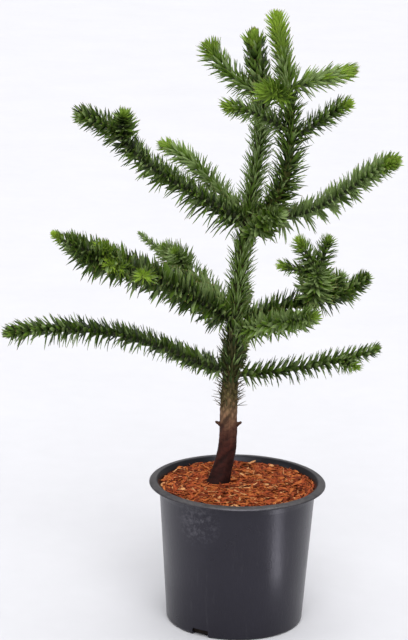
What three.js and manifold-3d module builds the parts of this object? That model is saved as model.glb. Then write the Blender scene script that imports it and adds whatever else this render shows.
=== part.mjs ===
// A young monkey puzzle tree in a plastic nursery pot.
// Millimetres, +Z up, +X to the right of the front view, -Y towards the front.
// The origin is the middle of the pot's flat underside.
// Compass angles are degrees from +X, turning through +Y, so 270 points to the front.

import * as THREE from 'three';
import { ConvexGeometry } from 'three/addons/geometries/ConvexGeometry.js';
import { mergeVertices } from 'three/addons/utils/BufferGeometryUtils.js';
import Module from 'manifold-3d';

const wasm = await Module();
wasm.setup();

// Clearance between neighbouring pieces, and a size larger than the whole tree.
const GAP = 0.3;
const BEYOND = 1200;
const SEED = 1788;

// Pot: a tapered tub with a thin flat lip and notches in its foot that let water out.
const POT_HEIGHT = 250;
const POT_FOOT_RADIUS = 119;
const POT_FOOT_ROUNDING = 6;
const POT_NECK_RADIUS = 135.5;
const POT_MOUTH_RADIUS = 140;
const POT_LIP_RADIUS = 153;
const POT_LIP_SLOPE = 2.5;
const POT_LIP_DEPTH = 6;
const POT_WALL = 3;
const POT_FLARE_HEIGHT = POT_HEIGHT - POT_LIP_DEPTH - POT_WALL;
const POT_SIDES = 28;
const NOTCH_WIDTH = 34;
const NOTCH_HEIGHT = 13;
const NOTCH_COUNT = 3;
const NOTCH_COMPASS = 240;

// Filling: potting soil with a layer of bark chips on top.
const SOIL_TOP = 212;
const MULCH_EDGE = 240;
const MULCH_TOP = 246;
const MULCH_ROUGHNESS = 2.5;
const MULCH_RINGS = 6;
const SEAT_RADIUS = 26;
const SEAT_SIDES = 20;

// Trunk: its line from the ground to the tip, and its radius at each of those points.
const GROUND = 243;
const TRUNK_LINE = [
  [-36, 2, 228],
  [-19, 14, 306],
  [-18, 17, 372],
  [-16, 15, 440],
  [-10, 12, 545],
  [4, 10, 705],
  [25, 10, 873],
  [9, 10, 1014],
];
const TRUNK_RADII = [16, 15.5, 15, 13, 10.5, 8, 6, 3];
const TRUNK_FLARE = 4.5;
const TRUNK_FLARE_HEIGHT = 18;
const TRUNK_SIDES = 8;
const TRUNK_STATIONS = 26;
const STUB_HEIGHT = 341;
const STUB_REACH = 24;
const STUB_RADII = [5, 2];
const STUB_SIDES = 6;
const STUB_PITCH = 28;
const STUB_COMPASS = [186, 352];

// Second leader: a bough that leaves the upper whorl, turns up and outgrows the trunk.
const SECOND_LINE = [
  [8, 9, 712],
  [40, -24, 734],
  [66, -46, 792],
  [72, -50, 865],
  [64, -50, 945],
  [44, -50, 1050],
];
const SECOND_RADII = [6.5, 6.5, 6, 5.5, 4.5, 2.2];
const SECOND_SIDES = 6;
const SECOND_STATIONS = 14;

// Leaves: stiff keeled blades in a spiral, spread along a stem and closing round its tip.
const GOLDEN_ANGLE = 137.508;
const LEAF_LENGTH = 34;
const LEAF_WIDTH = 11;
const LEAF_THICKNESS = 1.8;
const LEAF_BELLY = 0.24;
const LEAF_STEP = 9.4;
const LEAF_SPREAD = 68;
const LEAF_CLOSE = 18;
const LEAN_JITTER = 12;
const SIZE_JITTER = 0.16;
const TIP_ZONE = 32;
const TIP_LEAVES = 3;
const TIP_STEP = 3.5;
const PROBE_MARGIN = 1.6;

// Twigs: three-sided stems that carry the leaves.
const TWIG_SIDES = 3;
const TWIG_STATION = 40;
const TWIG_STEP = 12;
const TWIG_ROOT_RADIUS = 4.6;
const TWIG_TIP_RADIUS = 2;
const TWIG_BARE = 12;
const SHOOT_ROOT_RADIUS = 3;
const SHOOT_TIP_LEAF = 0.75;

// Branches: where each leaves its limb, its compass angle, its stem's length, its pitches
// from root to tip, the size of its tip leaves, and the side shoots that it carries.
const BRANCHES = [
  {
    name: 'bottom_left_branch', limb: 'trunk', height: 439, compass: 199, length: 410,
    pitches: [20, 25, 17, 4, -6], tipLeaf: 0.8,
  },
  {
    name: 'bottom_right_branch', limb: 'trunk', height: 433, compass: 355, length: 256,
    pitches: [8, 8, 13, 16, 24], tipLeaf: 0.7,
    shoots: [{ at: 0.72, compass: 318, pitch: -4, length: 44 }],
  },
  {
    name: 'bottom_back_branch', limb: 'trunk', height: 444, compass: 86, length: 225,
    pitches: [8, 3, -2, -6, -9], tipLeaf: 0.8,
  },
  {
    name: 'middle_left_branch', limb: 'trunk', height: 528, compass: 203, length: 372,
    pitches: [35, 31, 23, 23, 36], tipLeaf: 0.4,
    shoots: [
      { at: 0.5, compass: 262, pitch: 12, length: 60 },
      { at: 0.61, compass: 236, pitch: 14, length: 54 },
      { at: 0.63, compass: 190, pitch: 44, length: 44 },
      { at: 0.72, compass: 214, pitch: 4, length: 46 },
      { at: 0.83, compass: 178, pitch: 44, length: 36 },
    ],
  },
  {
    name: 'middle_back_left_branch', limb: 'trunk', height: 545, compass: 150, length: 228,
    pitches: [24, 34, 34, 25, 33], tipLeaf: 0.4,
    shoots: [
      { at: 0.51, compass: 232, pitch: 50, length: 50 },
      { at: 0.57, compass: 180, pitch: 48, length: 44 },
    ],
  },
  {
    name: 'middle_back_branch', limb: 'trunk', height: 540, compass: 86, length: 195,
    pitches: [10, 4, 0, -3, -6], tipLeaf: 0.7,
  },
  {
    name: 'middle_right_branch', limb: 'trunk', height: 520, compass: 352, length: 249,
    pitches: [26, 26, 14, 18, 56], tipLeaf: 0.45,
    shoots: [
      {
        at: 0.57, compass: 278, pitch: 54, length: 80,
        shoots: [
          { at: 0.98, compass: 350, pitch: 74, length: 58 },
          { at: 0.92, compass: 188, pitch: 58, length: 66 },
          { at: 0.86, compass: 188, pitch: 13, length: 66 },
        ],
      },
      { at: 0.68, compass: 350, pitch: 60, length: 46 },
    ],
  },
  {
    name: 'middle_front_right_branch', limb: 'trunk', height: 511, compass: 315, length: 192,
    pitches: [19, 18, 18, 19, 20], tipLeaf: 0.7,
  },
  {
    name: 'upper_left_branch', limb: 'trunk', height: 703, compass: 201, length: 356,
    pitches: [31, 29, 33, 48, 12], tipLeaf: 0.8,
    shoots: [{ at: 0.755, compass: 275, pitch: 66, length: 50 }],
  },
  {
    name: 'upper_back_left_branch', limb: 'trunk', height: 718, compass: 150, length: 200,
    pitches: [20, 39, 39, 26, 17], tipLeaf: 0.7,
  },
  {
    name: 'upper_back_branch', limb: 'trunk', height: 698, compass: 85, length: 188,
    pitches: [8, 2, -3, -6, -8], tipLeaf: 0.7,
  },
  {
    name: 'upper_right_branch', limb: 'trunk', height: 691, compass: 340, length: 295,
    pitches: [38, 9, 31, 41, 24], tipLeaf: 0.75,
  },
  {
    name: 'upper_front_branch', limb: 'trunk', height: 679, compass: 310, length: 100,
    pitches: [34, 33, 32, 30, 28], tipLeaf: 0.8,
  },
  {
    name: 'leader_left_branch', limb: 'trunk', height: 919, compass: 160, length: 124,
    pitches: [20, 32, 36, 48, 62], tipLeaf: 0.7,
  },
  {
    name: 'second_leader_right_branch', limb: 'second', height: 862, compass: 350, length: 110,
    pitches: [8, 35, 38, 34, 26], tipLeaf: 0.8,
  },
  {
    name: 'second_leader_left_branch', limb: 'second', height: 868, compass: 195, length: 118,
    pitches: [30, 28, 24, 15, 5], tipLeaf: 0.8,
  },
  {
    name: 'second_leader_top_right_branch', limb: 'second', height: 938, compass: 350, length: 103,
    pitches: [26, 20, 17, 15, 15], tipLeaf: 0.8, finish: 'youngLeaf',
  },
  {
    name: 'second_leader_front_branch', limb: 'second', height: 922, compass: 236, length: 62,
    pitches: [16, 18, 18, 18, 18], tipLeaf: 0.8, finish: 'youngLeaf',
  },
];

// Leaf sleeves: thin skins with leaves that clothe the upright limbs between the whorls.
const SLEEVE_SKIN = 2;
const SLEEVE_CAP = 6;
const SLEEVE_MARGIN = 4;
const SLEEVE_LEAF_STEP = 6;
const SLEEVE_CLOSING = 5;
const SLEEVES = [
  {
    name: 'trunk_old_leaves', limb: 'trunk', from: 374, to: 424, leaf: 0.6, lean: 44, finish: 'oldLeaf',
  },
  { name: 'trunk_lower_leaves', limb: 'trunk', from: 460, to: 492, leaf: 0.85, lean: 46 },
  { name: 'trunk_middle_leaves', limb: 'trunk', from: 572, to: 664, leaf: 0.9, lean: 45 },
  { name: 'trunk_upper_leaves', limb: 'trunk', from: 734, to: 904, leaf: 0.9, lean: 42 },
  {
    name: 'trunk_tip_leaves', limb: 'trunk', from: 936, to: 1030, leaf: 0.75, lean: 38, tip: true,
    finish: 'youngLeaf',
  },
  { name: 'second_leader_lower_leaves', limb: 'second', from: 750, to: 848, leaf: 0.95, lean: 52 },
  { name: 'second_leader_middle_leaves', limb: 'second', from: 884, to: 910, leaf: 0.9, lean: 48 },
  {
    name: 'second_leader_tip_leaves', limb: 'second', from: 954, to: 1066, leaf: 0.75, lean: 42, tip: true,
    finish: 'youngLeaf',
  },
];

// Finishes.
const FINISHES = {
  pot: { color: 0x2b2d30, roughness: 0.45, metalness: 0 },
  soil: { color: 0x3a2a20, roughness: 0.95, metalness: 0 },
  mulch: { color: 0xa0592f, roughness: 0.95, metalness: 0 },
  bark: { color: 0x5a3526, roughness: 0.85, metalness: 0 },
  greenBark: { color: 0x4f5a34, roughness: 0.8, metalness: 0 },
  oldLeaf: { color: 0x7d7346, roughness: 0.7, metalness: 0 },
  leaf: { color: 0x3f6a31, roughness: 0.5, metalness: 0 },
  youngLeaf: { color: 0x6f9a3c, roughness: 0.5, metalness: 0 },
};

// Seeded random numbers from 0 to 1.
function seededRandom(seed) {
  let state = seed >>> 0;
  return () => {
    state = (state + 0x6d2b79f5) >>> 0;
    let mixed = Math.imul(state ^ (state >>> 15), state | 1);
    mixed ^= mixed + Math.imul(mixed ^ (mixed >>> 7), mixed | 61);
    return ((mixed ^ (mixed >>> 14)) >>> 0) / 4294967296;
  };
}

const random = seededRandom(SEED);

// A seeded random number spread evenly about zero.
function jitter(spread) {
  return (random() - 0.5) * spread;
}

// The value of an evenly spaced list at a share of its length.
function blend(list, share) {
  const place = THREE.MathUtils.clamp(share, 0, 1) * (list.length - 1);
  const low = Math.min(Math.floor(place), list.length - 2);
  return THREE.MathUtils.lerp(list[low], list[low + 1], place - low);
}

function directionOf(compass, pitch) {
  const turn = THREE.MathUtils.degToRad(compass);
  const rise = THREE.MathUtils.degToRad(pitch);
  const flat = Math.cos(rise);
  return new THREE.Vector3(flat * Math.cos(turn), flat * Math.sin(turn), Math.sin(rise));
}

// A closed solid from a three.js geometry.
function solidOf(geometry) {
  geometry.deleteAttribute('normal');
  geometry.deleteAttribute('uv');
  const welded = mergeVertices(geometry, 1e-4);
  return new wasm.Manifold(new wasm.Mesh({
    numProp: 3,
    vertProperties: new Float32Array(welded.attributes.position.array),
    triVerts: new Uint32Array(welded.index.array),
  }));
}

// The largest connected body of a solid, which drops loose scraps.
function mainBody(solid) {
  const bodies = solid.decompose();
  return bodies.reduce((best, body) => (body.volume() > best.volume() ? body : best));
}

function meshOf(solid, name, finish) {
  const data = solid.getMesh();
  const geometry = new THREE.BufferGeometry();
  geometry.setAttribute('position', new THREE.BufferAttribute(new Float32Array(data.vertProperties), 3));
  geometry.setIndex(new THREE.BufferAttribute(new Uint32Array(data.triVerts), 1));
  geometry.computeVertexNormals();
  const mesh = new THREE.Mesh(geometry, new THREE.MeshStandardMaterial(finish));
  mesh.name = name;
  return mesh;
}

// A closed tapering limb along a curve: a cylinder bent onto it, ring by ring.
function limbSolid(curve, radiusAt, sides, stations, swell = 0, tipReach = 0) {
  const geometry = new THREE.CylinderGeometry(1, 1, 1, sides, stations);
  const frames = curve.computeFrenetFrames(stations, false);
  const position = geometry.attributes.position;
  const spot = new THREE.Vector3();
  for (let index = 0; index < position.count; index += 1) {
    const ring = Math.round((position.getY(index) + 0.5) * stations);
    const share = ring / stations;
    const radius = radiusAt(share) + swell;
    curve.getPointAt(share, spot);
    spot.addScaledVector(frames.normals[ring], position.getX(index) * radius);
    spot.addScaledVector(frames.binormals[ring], -position.getZ(index) * radius);
    spot.addScaledVector(frames.tangents[ring], ring === stations ? tipReach : 0);
    position.setXYZ(index, spot.x, spot.y, spot.z);
  }
  return solidOf(geometry);
}

// A slab of all space between two heights.
function slab(from, to) {
  const geometry = new THREE.BoxGeometry(BEYOND, BEYOND, to - from);
  geometry.translate(0, 0, (from + to) / 2);
  return solidOf(geometry);
}

// An upright limb: its curve, its radius along it, and the solids that follow from both.
function uprightLimb(line, radii, sides, stations, flareAt = () => 0) {
  const curve = new THREE.CatmullRomCurve3(line.map((point) => new THREE.Vector3(...point)));
  const radiusAt = (share) => {
    const spot = curve.getPointAt(share);
    return blend(radii, curve.getUtoTmapping(share)) + flareAt(spot.z);
  };
  const solid = (swell, reach) => limbSolid(curve, radiusAt, sides, stations, swell, reach);
  const clearance = GAP / Math.cos(Math.PI / sides);
  return {
    curve,
    radiusAt,
    bare: solid(0, 0),
    clear: solid(clearance, GAP),
    skin: solid(SLEEVE_SKIN, SLEEVE_CAP),
  };
}

// The share of a rising curve's length at which it reaches a height.
function shareAtHeight(curve, height) {
  let low = 0;
  let high = 1;
  for (let turn = 0; turn < 40; turn += 1) {
    const middle = (low + high) / 2;
    if (curve.getPointAt(middle).z < height) low = middle;
    else high = middle;
  }
  return (low + high) / 2;
}

function makePot() {
  const lipFoot = POT_HEIGHT - POT_LIP_DEPTH;
  const lipEdge = POT_HEIGHT - POT_LIP_SLOPE;
  const profile = new THREE.Path();
  profile.moveTo(0, 0);
  profile.lineTo(POT_FOOT_RADIUS - POT_FOOT_ROUNDING, 0);
  profile.quadraticCurveTo(POT_FOOT_RADIUS, 0, POT_FOOT_RADIUS, POT_FOOT_ROUNDING);
  profile.lineTo(POT_NECK_RADIUS, lipFoot);
  profile.lineTo(POT_LIP_RADIUS - POT_WALL, lipFoot);
  profile.quadraticCurveTo(POT_LIP_RADIUS, lipFoot, POT_LIP_RADIUS, lipEdge);
  profile.quadraticCurveTo(POT_LIP_RADIUS - POT_WALL, POT_HEIGHT, POT_MOUTH_RADIUS, POT_HEIGHT);
  profile.lineTo(POT_NECK_RADIUS - POT_WALL, POT_FLARE_HEIGHT);
  profile.lineTo(POT_FOOT_RADIUS - POT_WALL, POT_FOOT_ROUNDING);
  profile.lineTo(POT_FOOT_RADIUS - POT_FOOT_ROUNDING, POT_WALL);
  profile.lineTo(0, POT_WALL);
  const geometry = new THREE.LatheGeometry(profile.getPoints(3), POT_SIDES);
  geometry.rotateX(Math.PI / 2);
  let pot = solidOf(geometry);
  for (let index = 0; index < NOTCH_COUNT; index += 1) {
    const notch = new THREE.BoxGeometry(POT_FOOT_ROUNDING * 4, NOTCH_WIDTH, NOTCH_HEIGHT * 2);
    notch.translate(POT_FOOT_RADIUS, 0, 0);
    notch.rotateZ(THREE.MathUtils.degToRad(NOTCH_COMPASS + (index * 360) / NOTCH_COUNT));
    pot = pot.subtract(solidOf(notch));
  }
  return pot;
}

// The pot's inner radius at a height below its flare, less the clearance.
function insideRadius(height) {
  const share = (height - POT_FOOT_ROUNDING) / (POT_FLARE_HEIGHT - POT_FOOT_ROUNDING);
  const foot = POT_FOOT_RADIUS - POT_WALL;
  const neck = POT_NECK_RADIUS - POT_WALL;
  return THREE.MathUtils.lerp(foot, neck, share) - GAP * 2;
}

function makeSoil() {
  const floor = POT_WALL + GAP;
  const profile = [
    new THREE.Vector2(0, floor),
    new THREE.Vector2(POT_FOOT_RADIUS - POT_FOOT_ROUNDING - GAP * 2, floor),
    new THREE.Vector2(insideRadius(POT_FOOT_ROUNDING), POT_FOOT_ROUNDING + GAP),
    new THREE.Vector2(insideRadius(SOIL_TOP), SOIL_TOP),
    new THREE.Vector2(0, SOIL_TOP),
  ];
  const geometry = new THREE.LatheGeometry(profile, POT_SIDES);
  geometry.rotateX(Math.PI / 2);
  return solidOf(geometry);
}

// Bark chips: a slightly domed, uneven layer with a level seat for the trunk's foot.
function makeMulch() {
  const floor = SOIL_TOP + GAP;
  const shoulder = MULCH_EDGE - MULCH_ROUGHNESS;
  const rim = insideRadius(shoulder);
  const profile = [
    new THREE.Vector2(0, floor),
    new THREE.Vector2(insideRadius(floor), floor),
    new THREE.Vector2(rim, shoulder),
  ];
  for (let ring = 1; ring <= MULCH_RINGS; ring += 1) {
    const share = ring / MULCH_RINGS;
    const height = THREE.MathUtils.lerp(MULCH_EDGE, MULCH_TOP, Math.sqrt(share));
    profile.push(new THREE.Vector2(rim * (1 - share), height));
  }
  const geometry = new THREE.LatheGeometry(profile, POT_SIDES);
  geometry.rotateX(Math.PI / 2);
  geometry.deleteAttribute('normal');
  geometry.deleteAttribute('uv');
  const layer = mergeVertices(geometry, 1e-4);
  const position = layer.attributes.position;
  for (let index = 0; index < position.count; index += 1) {
    const height = position.getZ(index);
    const lift = height < MULCH_EDGE ? 0 : jitter(2 * MULCH_ROUGHNESS);
    position.setZ(index, height + lift);
  }
  const [footX, footY] = TRUNK_LINE[0];
  const seat = new THREE.CylinderGeometry(SEAT_RADIUS, SEAT_RADIUS, SEAT_RADIUS, SEAT_SIDES);
  seat.rotateX(Math.PI / 2);
  seat.translate(footX, footY, GROUND - GAP + SEAT_RADIUS / 2);
  return solidOf(layer).subtract(solidOf(seat));
}

// The trunk, cut level at the ground, with two stubs where old branches were cut off.
function makeTrunk(limb) {
  let trunk = limb.bare.subtract(slab(0, GROUND));
  const heart = limb.curve.getPointAt(shareAtHeight(limb.curve, STUB_HEIGHT));
  STUB_COMPASS.forEach((compass) => {
    const way = directionOf(compass, STUB_PITCH);
    const line = new THREE.LineCurve3(heart, heart.clone().addScaledVector(way, STUB_REACH));
    trunk = trunk.add(limbSolid(line, (share) => blend(STUB_RADII, share), STUB_SIDES, 1));
  });
  return trunk;
}

// A stem's line: steps of equal length whose pitch is blended along a list.
function stemCurve(root, compass, pitches, length) {
  const steps = Math.round(length / TWIG_STEP);
  const points = [root.clone()];
  for (let step = 0; step < steps; step += 1) {
    const way = directionOf(compass, blend(pitches, (step + 0.5) / steps));
    points.push(points[step].clone().addScaledVector(way, length / steps));
  }
  return new THREE.CatmullRomCurve3(points);
}

// A branch's stems: the main one from its limb, then its side shoots, each from its parent.
function branchStems(branch, limb) {
  const root = limb.curve.getPointAt(shareAtHeight(limb.curve, branch.height));
  const bare = limb.radiusAt(shareAtHeight(limb.curve, branch.height)) + TWIG_BARE;
  const main = {
    curve: stemCurve(root, branch.compass, branch.pitches, branch.length),
    length: branch.length,
    bare,
    rootRadius: TWIG_ROOT_RADIUS,
    tipLeaf: branch.tipLeaf,
  };
  const stems = [main];
  const addShoots = (parent, shoots = []) => shoots.forEach((shoot) => {
    const start = parent.curve.getPointAt(shoot.at);
    const stem = {
      curve: stemCurve(start, shoot.compass, [shoot.pitch, shoot.pitch], shoot.length),
      length: shoot.length,
      bare: TWIG_BARE,
      rootRadius: SHOOT_ROOT_RADIUS,
      tipLeaf: SHOOT_TIP_LEAF,
    };
    stems.push(stem);
    addShoots(stem, shoot.shoots);
  });
  addShoots(main, branch.shoots);
  return stems;
}

function stemSolid(stem) {
  const stations = Math.max(2, Math.round(stem.length / TWIG_STATION));
  const radiusAt = (share) => THREE.MathUtils.lerp(stem.rootRadius, TWIG_TIP_RADIUS, share);
  return limbSolid(stem.curve, radiusAt, TWIG_SIDES, stations);
}

// A leaf: a keeled blade with four faces, from a point inside its stem to its sharp tip.
function leafSolid(leaf, margin = 0) {
  const length = leaf.length + margin;
  const half = (leaf.width + margin) / 2;
  const face = new THREE.Vector3().crossVectors(leaf.way, leaf.across);
  const belly = leaf.root.clone().addScaledVector(leaf.way, length * LEAF_BELLY);
  belly.addScaledVector(face, LEAF_THICKNESS + margin);
  const corners = [
    leaf.root,
    belly.clone().addScaledVector(leaf.across, half),
    belly.clone().addScaledVector(leaf.across, -half),
    leaf.root.clone().addScaledVector(leaf.way, length),
  ];
  return solidOf(new ConvexGeometry(corners));
}

// The leaf at a share of a curve: turned round its line, leaning from it, and rooted a
// distance out from it.
function leafAt(curve, share, turn, lean, size, rootOut = 0) {
  const along = curve.getTangentAt(share);
  const side = new THREE.Vector3(0, 0, 1).cross(along);
  if (side.lengthSq() < 0.01) side.set(1, 0, 0).cross(along);
  side.normalize();
  const out = side.applyAxisAngle(along, THREE.MathUtils.degToRad(turn));
  const tilt = THREE.MathUtils.degToRad(lean);
  const way = along.clone().multiplyScalar(Math.cos(tilt)).addScaledVector(out, Math.sin(tilt));
  const across = new THREE.Vector3().crossVectors(along, out).normalize();
  return {
    root: curve.getPointAt(share).addScaledVector(out, rootOut),
    way: way.normalize(),
    across,
    length: LEAF_LENGTH * size,
    width: LEAF_WIDTH * Math.sqrt(size),
  };
}

// Leaves in a spiral along a stem, closing into a rosette round its tip.
function stemLeaves(stem) {
  const leaves = [];
  const run = stem.length - stem.bare - TIP_LEAVES * TIP_STEP;
  const count = Math.floor(run / LEAF_STEP);
  for (let index = 0; index < count + TIP_LEAVES; index += 1) {
    const onTip = index >= count;
    const beforeTip = (count + TIP_LEAVES - index - 0.6) * TIP_STEP;
    const distance = onTip ? stem.length - beforeTip : stem.bare + index * LEAF_STEP;
    const opening = THREE.MathUtils.clamp((stem.length - distance) / TIP_ZONE, 0, 1);
    const lean = THREE.MathUtils.lerp(LEAF_CLOSE, LEAF_SPREAD, opening) + jitter(LEAN_JITTER);
    const size = THREE.MathUtils.lerp(stem.tipLeaf, 1, opening) * (1 + jitter(SIZE_JITTER));
    const share = Math.min(distance / stem.length, 1);
    leaves.push(leafAt(stem.curve, share, index * GOLDEN_ANGLE, lean, size));
  }
  return leaves;
}

// Leaves in a spiral along an upright limb, between two heights.
function sleeveLeaves(sleeve, limb) {
  const leaves = [];
  const from = shareAtHeight(limb.curve, sleeve.from + SLEEVE_MARGIN);
  const to = sleeve.tip ? 1 : shareAtHeight(limb.curve, sleeve.to - SLEEVE_MARGIN);
  const count = Math.round(((to - from) * limb.curve.getLength()) / SLEEVE_LEAF_STEP);
  const extra = sleeve.tip ? TIP_LEAVES : 0;
  for (let index = 0; index < count + extra; index += 1) {
    const share = Math.min(THREE.MathUtils.lerp(from, to, (index + 0.5) / count), 1);
    const closing = sleeve.tip ? ((index + 1) / (count + extra)) ** SLEEVE_CLOSING : 0;
    const lean = THREE.MathUtils.lerp(sleeve.lean, LEAF_CLOSE, closing) + jitter(LEAN_JITTER);
    const size = sleeve.leaf * (1 + jitter(SIZE_JITTER));
    const rootOut = limb.radiusAt(share) * (1 - closing);
    leaves.push(leafAt(limb.curve, share, index * GOLDEN_ANGLE, lean, size, rootOut));
  }
  return leaves;
}

function boxesMeet(one, other) {
  return [0, 1, 2].every((axis) => one.min[axis] <= other.max[axis] && other.min[axis] <= one.max[axis]);
}

// True where a solid meets any of the pieces that other nodes already hold.
function meetsAny(solid, pieces) {
  const box = solid.boundingBox();
  return pieces.some((piece) => boxesMeet(box, piece.boundingBox()) && !solid.intersect(piece).isEmpty());
}

const flareAt = (height) => TRUNK_FLARE * Math.exp(-(height - GROUND) / TRUNK_FLARE_HEIGHT);
const limbs = {
  trunk: uprightLimb(TRUNK_LINE, TRUNK_RADII, TRUNK_SIDES, TRUNK_STATIONS, flareAt),
  second: uprightLimb(SECOND_LINE, SECOND_RADII, SECOND_SIDES, SECOND_STATIONS),
};
limbs.second.bare = mainBody(limbs.second.bare.subtract(limbs.trunk.clear));

// Each mass starts as its bare stems or its sleeve's skin, cut clear of the limbs.
const masses = BRANCHES.map((branch) => {
  const limb = limbs[branch.limb];
  const stems = branchStems(branch, limb);
  const core = wasm.Manifold.union(stems.map(stemSolid)).subtract(limb.clear);
  const leaves = stems.flatMap(stemLeaves);
  const finish = branch.finish ?? 'leaf';
  return { name: branch.name, core: mainBody(core), leaves, limb, onLimb: false, finish };
});
SLEEVES.forEach((sleeve) => {
  const limb = limbs[sleeve.limb];
  const skin = limb.skin.intersect(slab(sleeve.from, sleeve.to)).subtract(limb.clear);
  const leaves = sleeveLeaves(sleeve, limb);
  const finish = sleeve.finish ?? 'leaf';
  masses.push({ name: sleeve.name, core: mainBody(skin), leaves, limb, onLimb: true, finish });
});

// Leaves join a mass where they meet no limb and no other mass.
masses.forEach((mass) => {
  const others = masses.filter((other) => other !== mass).map((other) => other.core);
  const barriers = Object.values(limbs).filter((limb) => !(mass.onLimb && limb === mass.limb));
  const pieces = [...others, ...barriers.map((limb) => limb.bare)];
  const kept = mass.leaves.filter((leaf) => !meetsAny(leafSolid(leaf, PROBE_MARGIN), pieces));
  const fused = wasm.Manifold.union([mass.core, ...kept.map((leaf) => leafSolid(leaf))]);
  mass.core = mainBody(fused.subtract(mass.limb.clear));
});

const tree = new THREE.Group();
tree.add(meshOf(makePot(), 'pot', FINISHES.pot));
tree.add(meshOf(makeSoil(), 'potting_soil', FINISHES.soil));
tree.add(meshOf(makeMulch(), 'bark_mulch', FINISHES.mulch));
tree.add(meshOf(makeTrunk(limbs.trunk), 'trunk', FINISHES.bark));
tree.add(meshOf(limbs.second.bare, 'second_leader', FINISHES.greenBark));
masses.forEach((mass) => tree.add(meshOf(mass.core, mass.name, FINISHES[mass.finish])));

export default tree;
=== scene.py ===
"""Studio dress of a young monkey puzzle tree that stands in a black nursery pot."""

import logging
import math
from dataclasses import dataclass, field, fields
from enum import Enum
from functools import cache

import bpy
import numpy as np
from mathutils import Euler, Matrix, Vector


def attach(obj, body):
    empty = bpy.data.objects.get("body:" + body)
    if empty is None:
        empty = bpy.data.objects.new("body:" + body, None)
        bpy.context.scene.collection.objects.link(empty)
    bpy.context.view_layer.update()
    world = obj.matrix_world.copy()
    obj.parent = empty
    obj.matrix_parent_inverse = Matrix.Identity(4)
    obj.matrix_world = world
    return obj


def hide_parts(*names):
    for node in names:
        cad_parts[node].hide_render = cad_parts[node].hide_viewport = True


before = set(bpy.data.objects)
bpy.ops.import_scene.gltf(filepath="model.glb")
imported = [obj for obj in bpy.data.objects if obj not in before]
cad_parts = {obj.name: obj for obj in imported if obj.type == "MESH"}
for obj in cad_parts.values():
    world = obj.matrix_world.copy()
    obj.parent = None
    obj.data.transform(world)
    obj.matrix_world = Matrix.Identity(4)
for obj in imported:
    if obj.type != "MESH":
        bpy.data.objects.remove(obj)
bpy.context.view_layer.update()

LOG = logging.getLogger("monkey_puzzle_tree")
BODY = "root"
MM = 0.001
SEED = 1788
SLEEVE_SEED, BED_SEED, CHIP_SEED = SEED + 100, SEED + 7, SEED + 11
GOLDEN_ANGLE = math.radians(137.508)
FULL_TURN = 2.0 * math.pi
UPRIGHT = (0.0, 0.0, 1.0)

Array = np.ndarray
Random = np.random.Generator
Pair = tuple[float, float]
Place = tuple[float, float, float]
Colour = tuple[float, float, float, float]
Piece = bpy.types.Object
Material = bpy.types.Material
Tree = bpy.types.NodeTree
Node = bpy.types.Node
Outputs = bpy.types.NodeOutputs
Socket = bpy.types.NodeSocket


class LimbName(Enum):
    """The two upright limbs."""

    TRUNK = "trunk"
    SECOND = "second_leader"


class Whorl(Enum):
    """Rings of branches, from the ground up."""

    BOTTOM = "bottom_whorl"
    MIDDLE = "middle_whorl"
    UPPER = "upper_whorl"
    CROWN = "crown"


class Tint(Enum):
    """Leaf ages and places, from dry scales on old wood to the newest tips."""

    STRAW = "straw"
    OLIVE = "olive"
    DEEP = "deep"
    GREEN = "green"
    # Moss: a pale grey-green that stands in partly for leaves lit from behind and for sheen on the
    # blades, painted light.
    MOSS = "moss"
    FRESH = "fresh"
    LIME = "lime"


class ChipTint(Enum):
    """Bark chips, from wet and dark to bleached."""

    UMBER = "umber"
    RUST = "rust"
    AMBER = "amber"
    TAN = "tan"


TRUNK, SECOND = LimbName
BOTTOM, MIDDLE, UPPER, CROWN = Whorl
STRAW, OLIVE, DEEP, GREEN, MOSS, FRESH, LIME = Tint
UMBER, RUST, AMBER, TAN = ChipTint


def linear(code: str) -> Colour:
    """Turns a hex colour into the linear values that shader sockets take.

    Args:
        code: A colour such as "#3f6a31".

    Returns:
        Red, green, blue and an alpha of 1.
    """
    parts = [int(code[place : place + 2], 16) / 255.0 for place in (1, 3, 5)]
    red, green, blue = (
        part / 12.92 if part <= 0.04045 else ((part + 0.055) / 1.055) ** 2.4
        for part in parts
    )
    return red, green, blue, 1.0


def direction(compass: float, pitch: float) -> Array:
    """Gives the unit direction at a compass angle and a pitch.

    Args:
        compass: The angle round the upright, in degrees.
        pitch: The angle above level, in degrees.

    Returns:
        The direction.
    """
    turn, rise = math.radians(compass), math.radians(pitch)
    flat = math.cos(rise)
    return np.array([flat * math.cos(turn), flat * math.sin(turn), math.sin(rise)])


def unit(rows: Array) -> Array:
    """Scales each row to a length of one."""
    return rows / np.linalg.norm(rows, axis=-1, keepdims=True)


def blend(values: tuple[float, ...], share: Array) -> Array:
    """Reads an evenly spaced list at shares of its length."""
    return np.interp(share, np.linspace(0.0, 1.0, len(values)), values)


def round_turns(count: int) -> Array:
    """Gives evenly spaced angles once round, in radians."""
    return np.linspace(0.0, FULL_TURN, count, endpoint=False)


def ripple(
    x: Array,
    y: Array,
    wave: float,
    rng: Random,
    count: int = 14,
    shortest: float = 0.35,
    calm: float = 1.4,
) -> Array:
    """Adds up slanted waves into a smooth, uneven surface.

    Args:
        x: First coordinate of each place.
        y: Second coordinate of each place.
        wave: The longest wavelength, in the coordinates' unit.
        rng: Source of the waves' directions and phases.
        count: How many waves are added.
        shortest: The shortest wavelength, as a share of the longest.
        calm: What the sum is divided by to keep its range.

    Returns:
        Heights of about -1 to 1.
    """
    total = np.zeros(np.broadcast(x, y).shape)
    for _ in range(count):
        heading, phase = rng.uniform(0.0, FULL_TURN, 2)
        number = FULL_TURN / (wave * rng.uniform(shortest, 1.0))
        total += np.cos(number * (x * math.cos(heading) + y * math.sin(heading)) + phase)
    return total / math.sqrt(count) / calm


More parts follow.
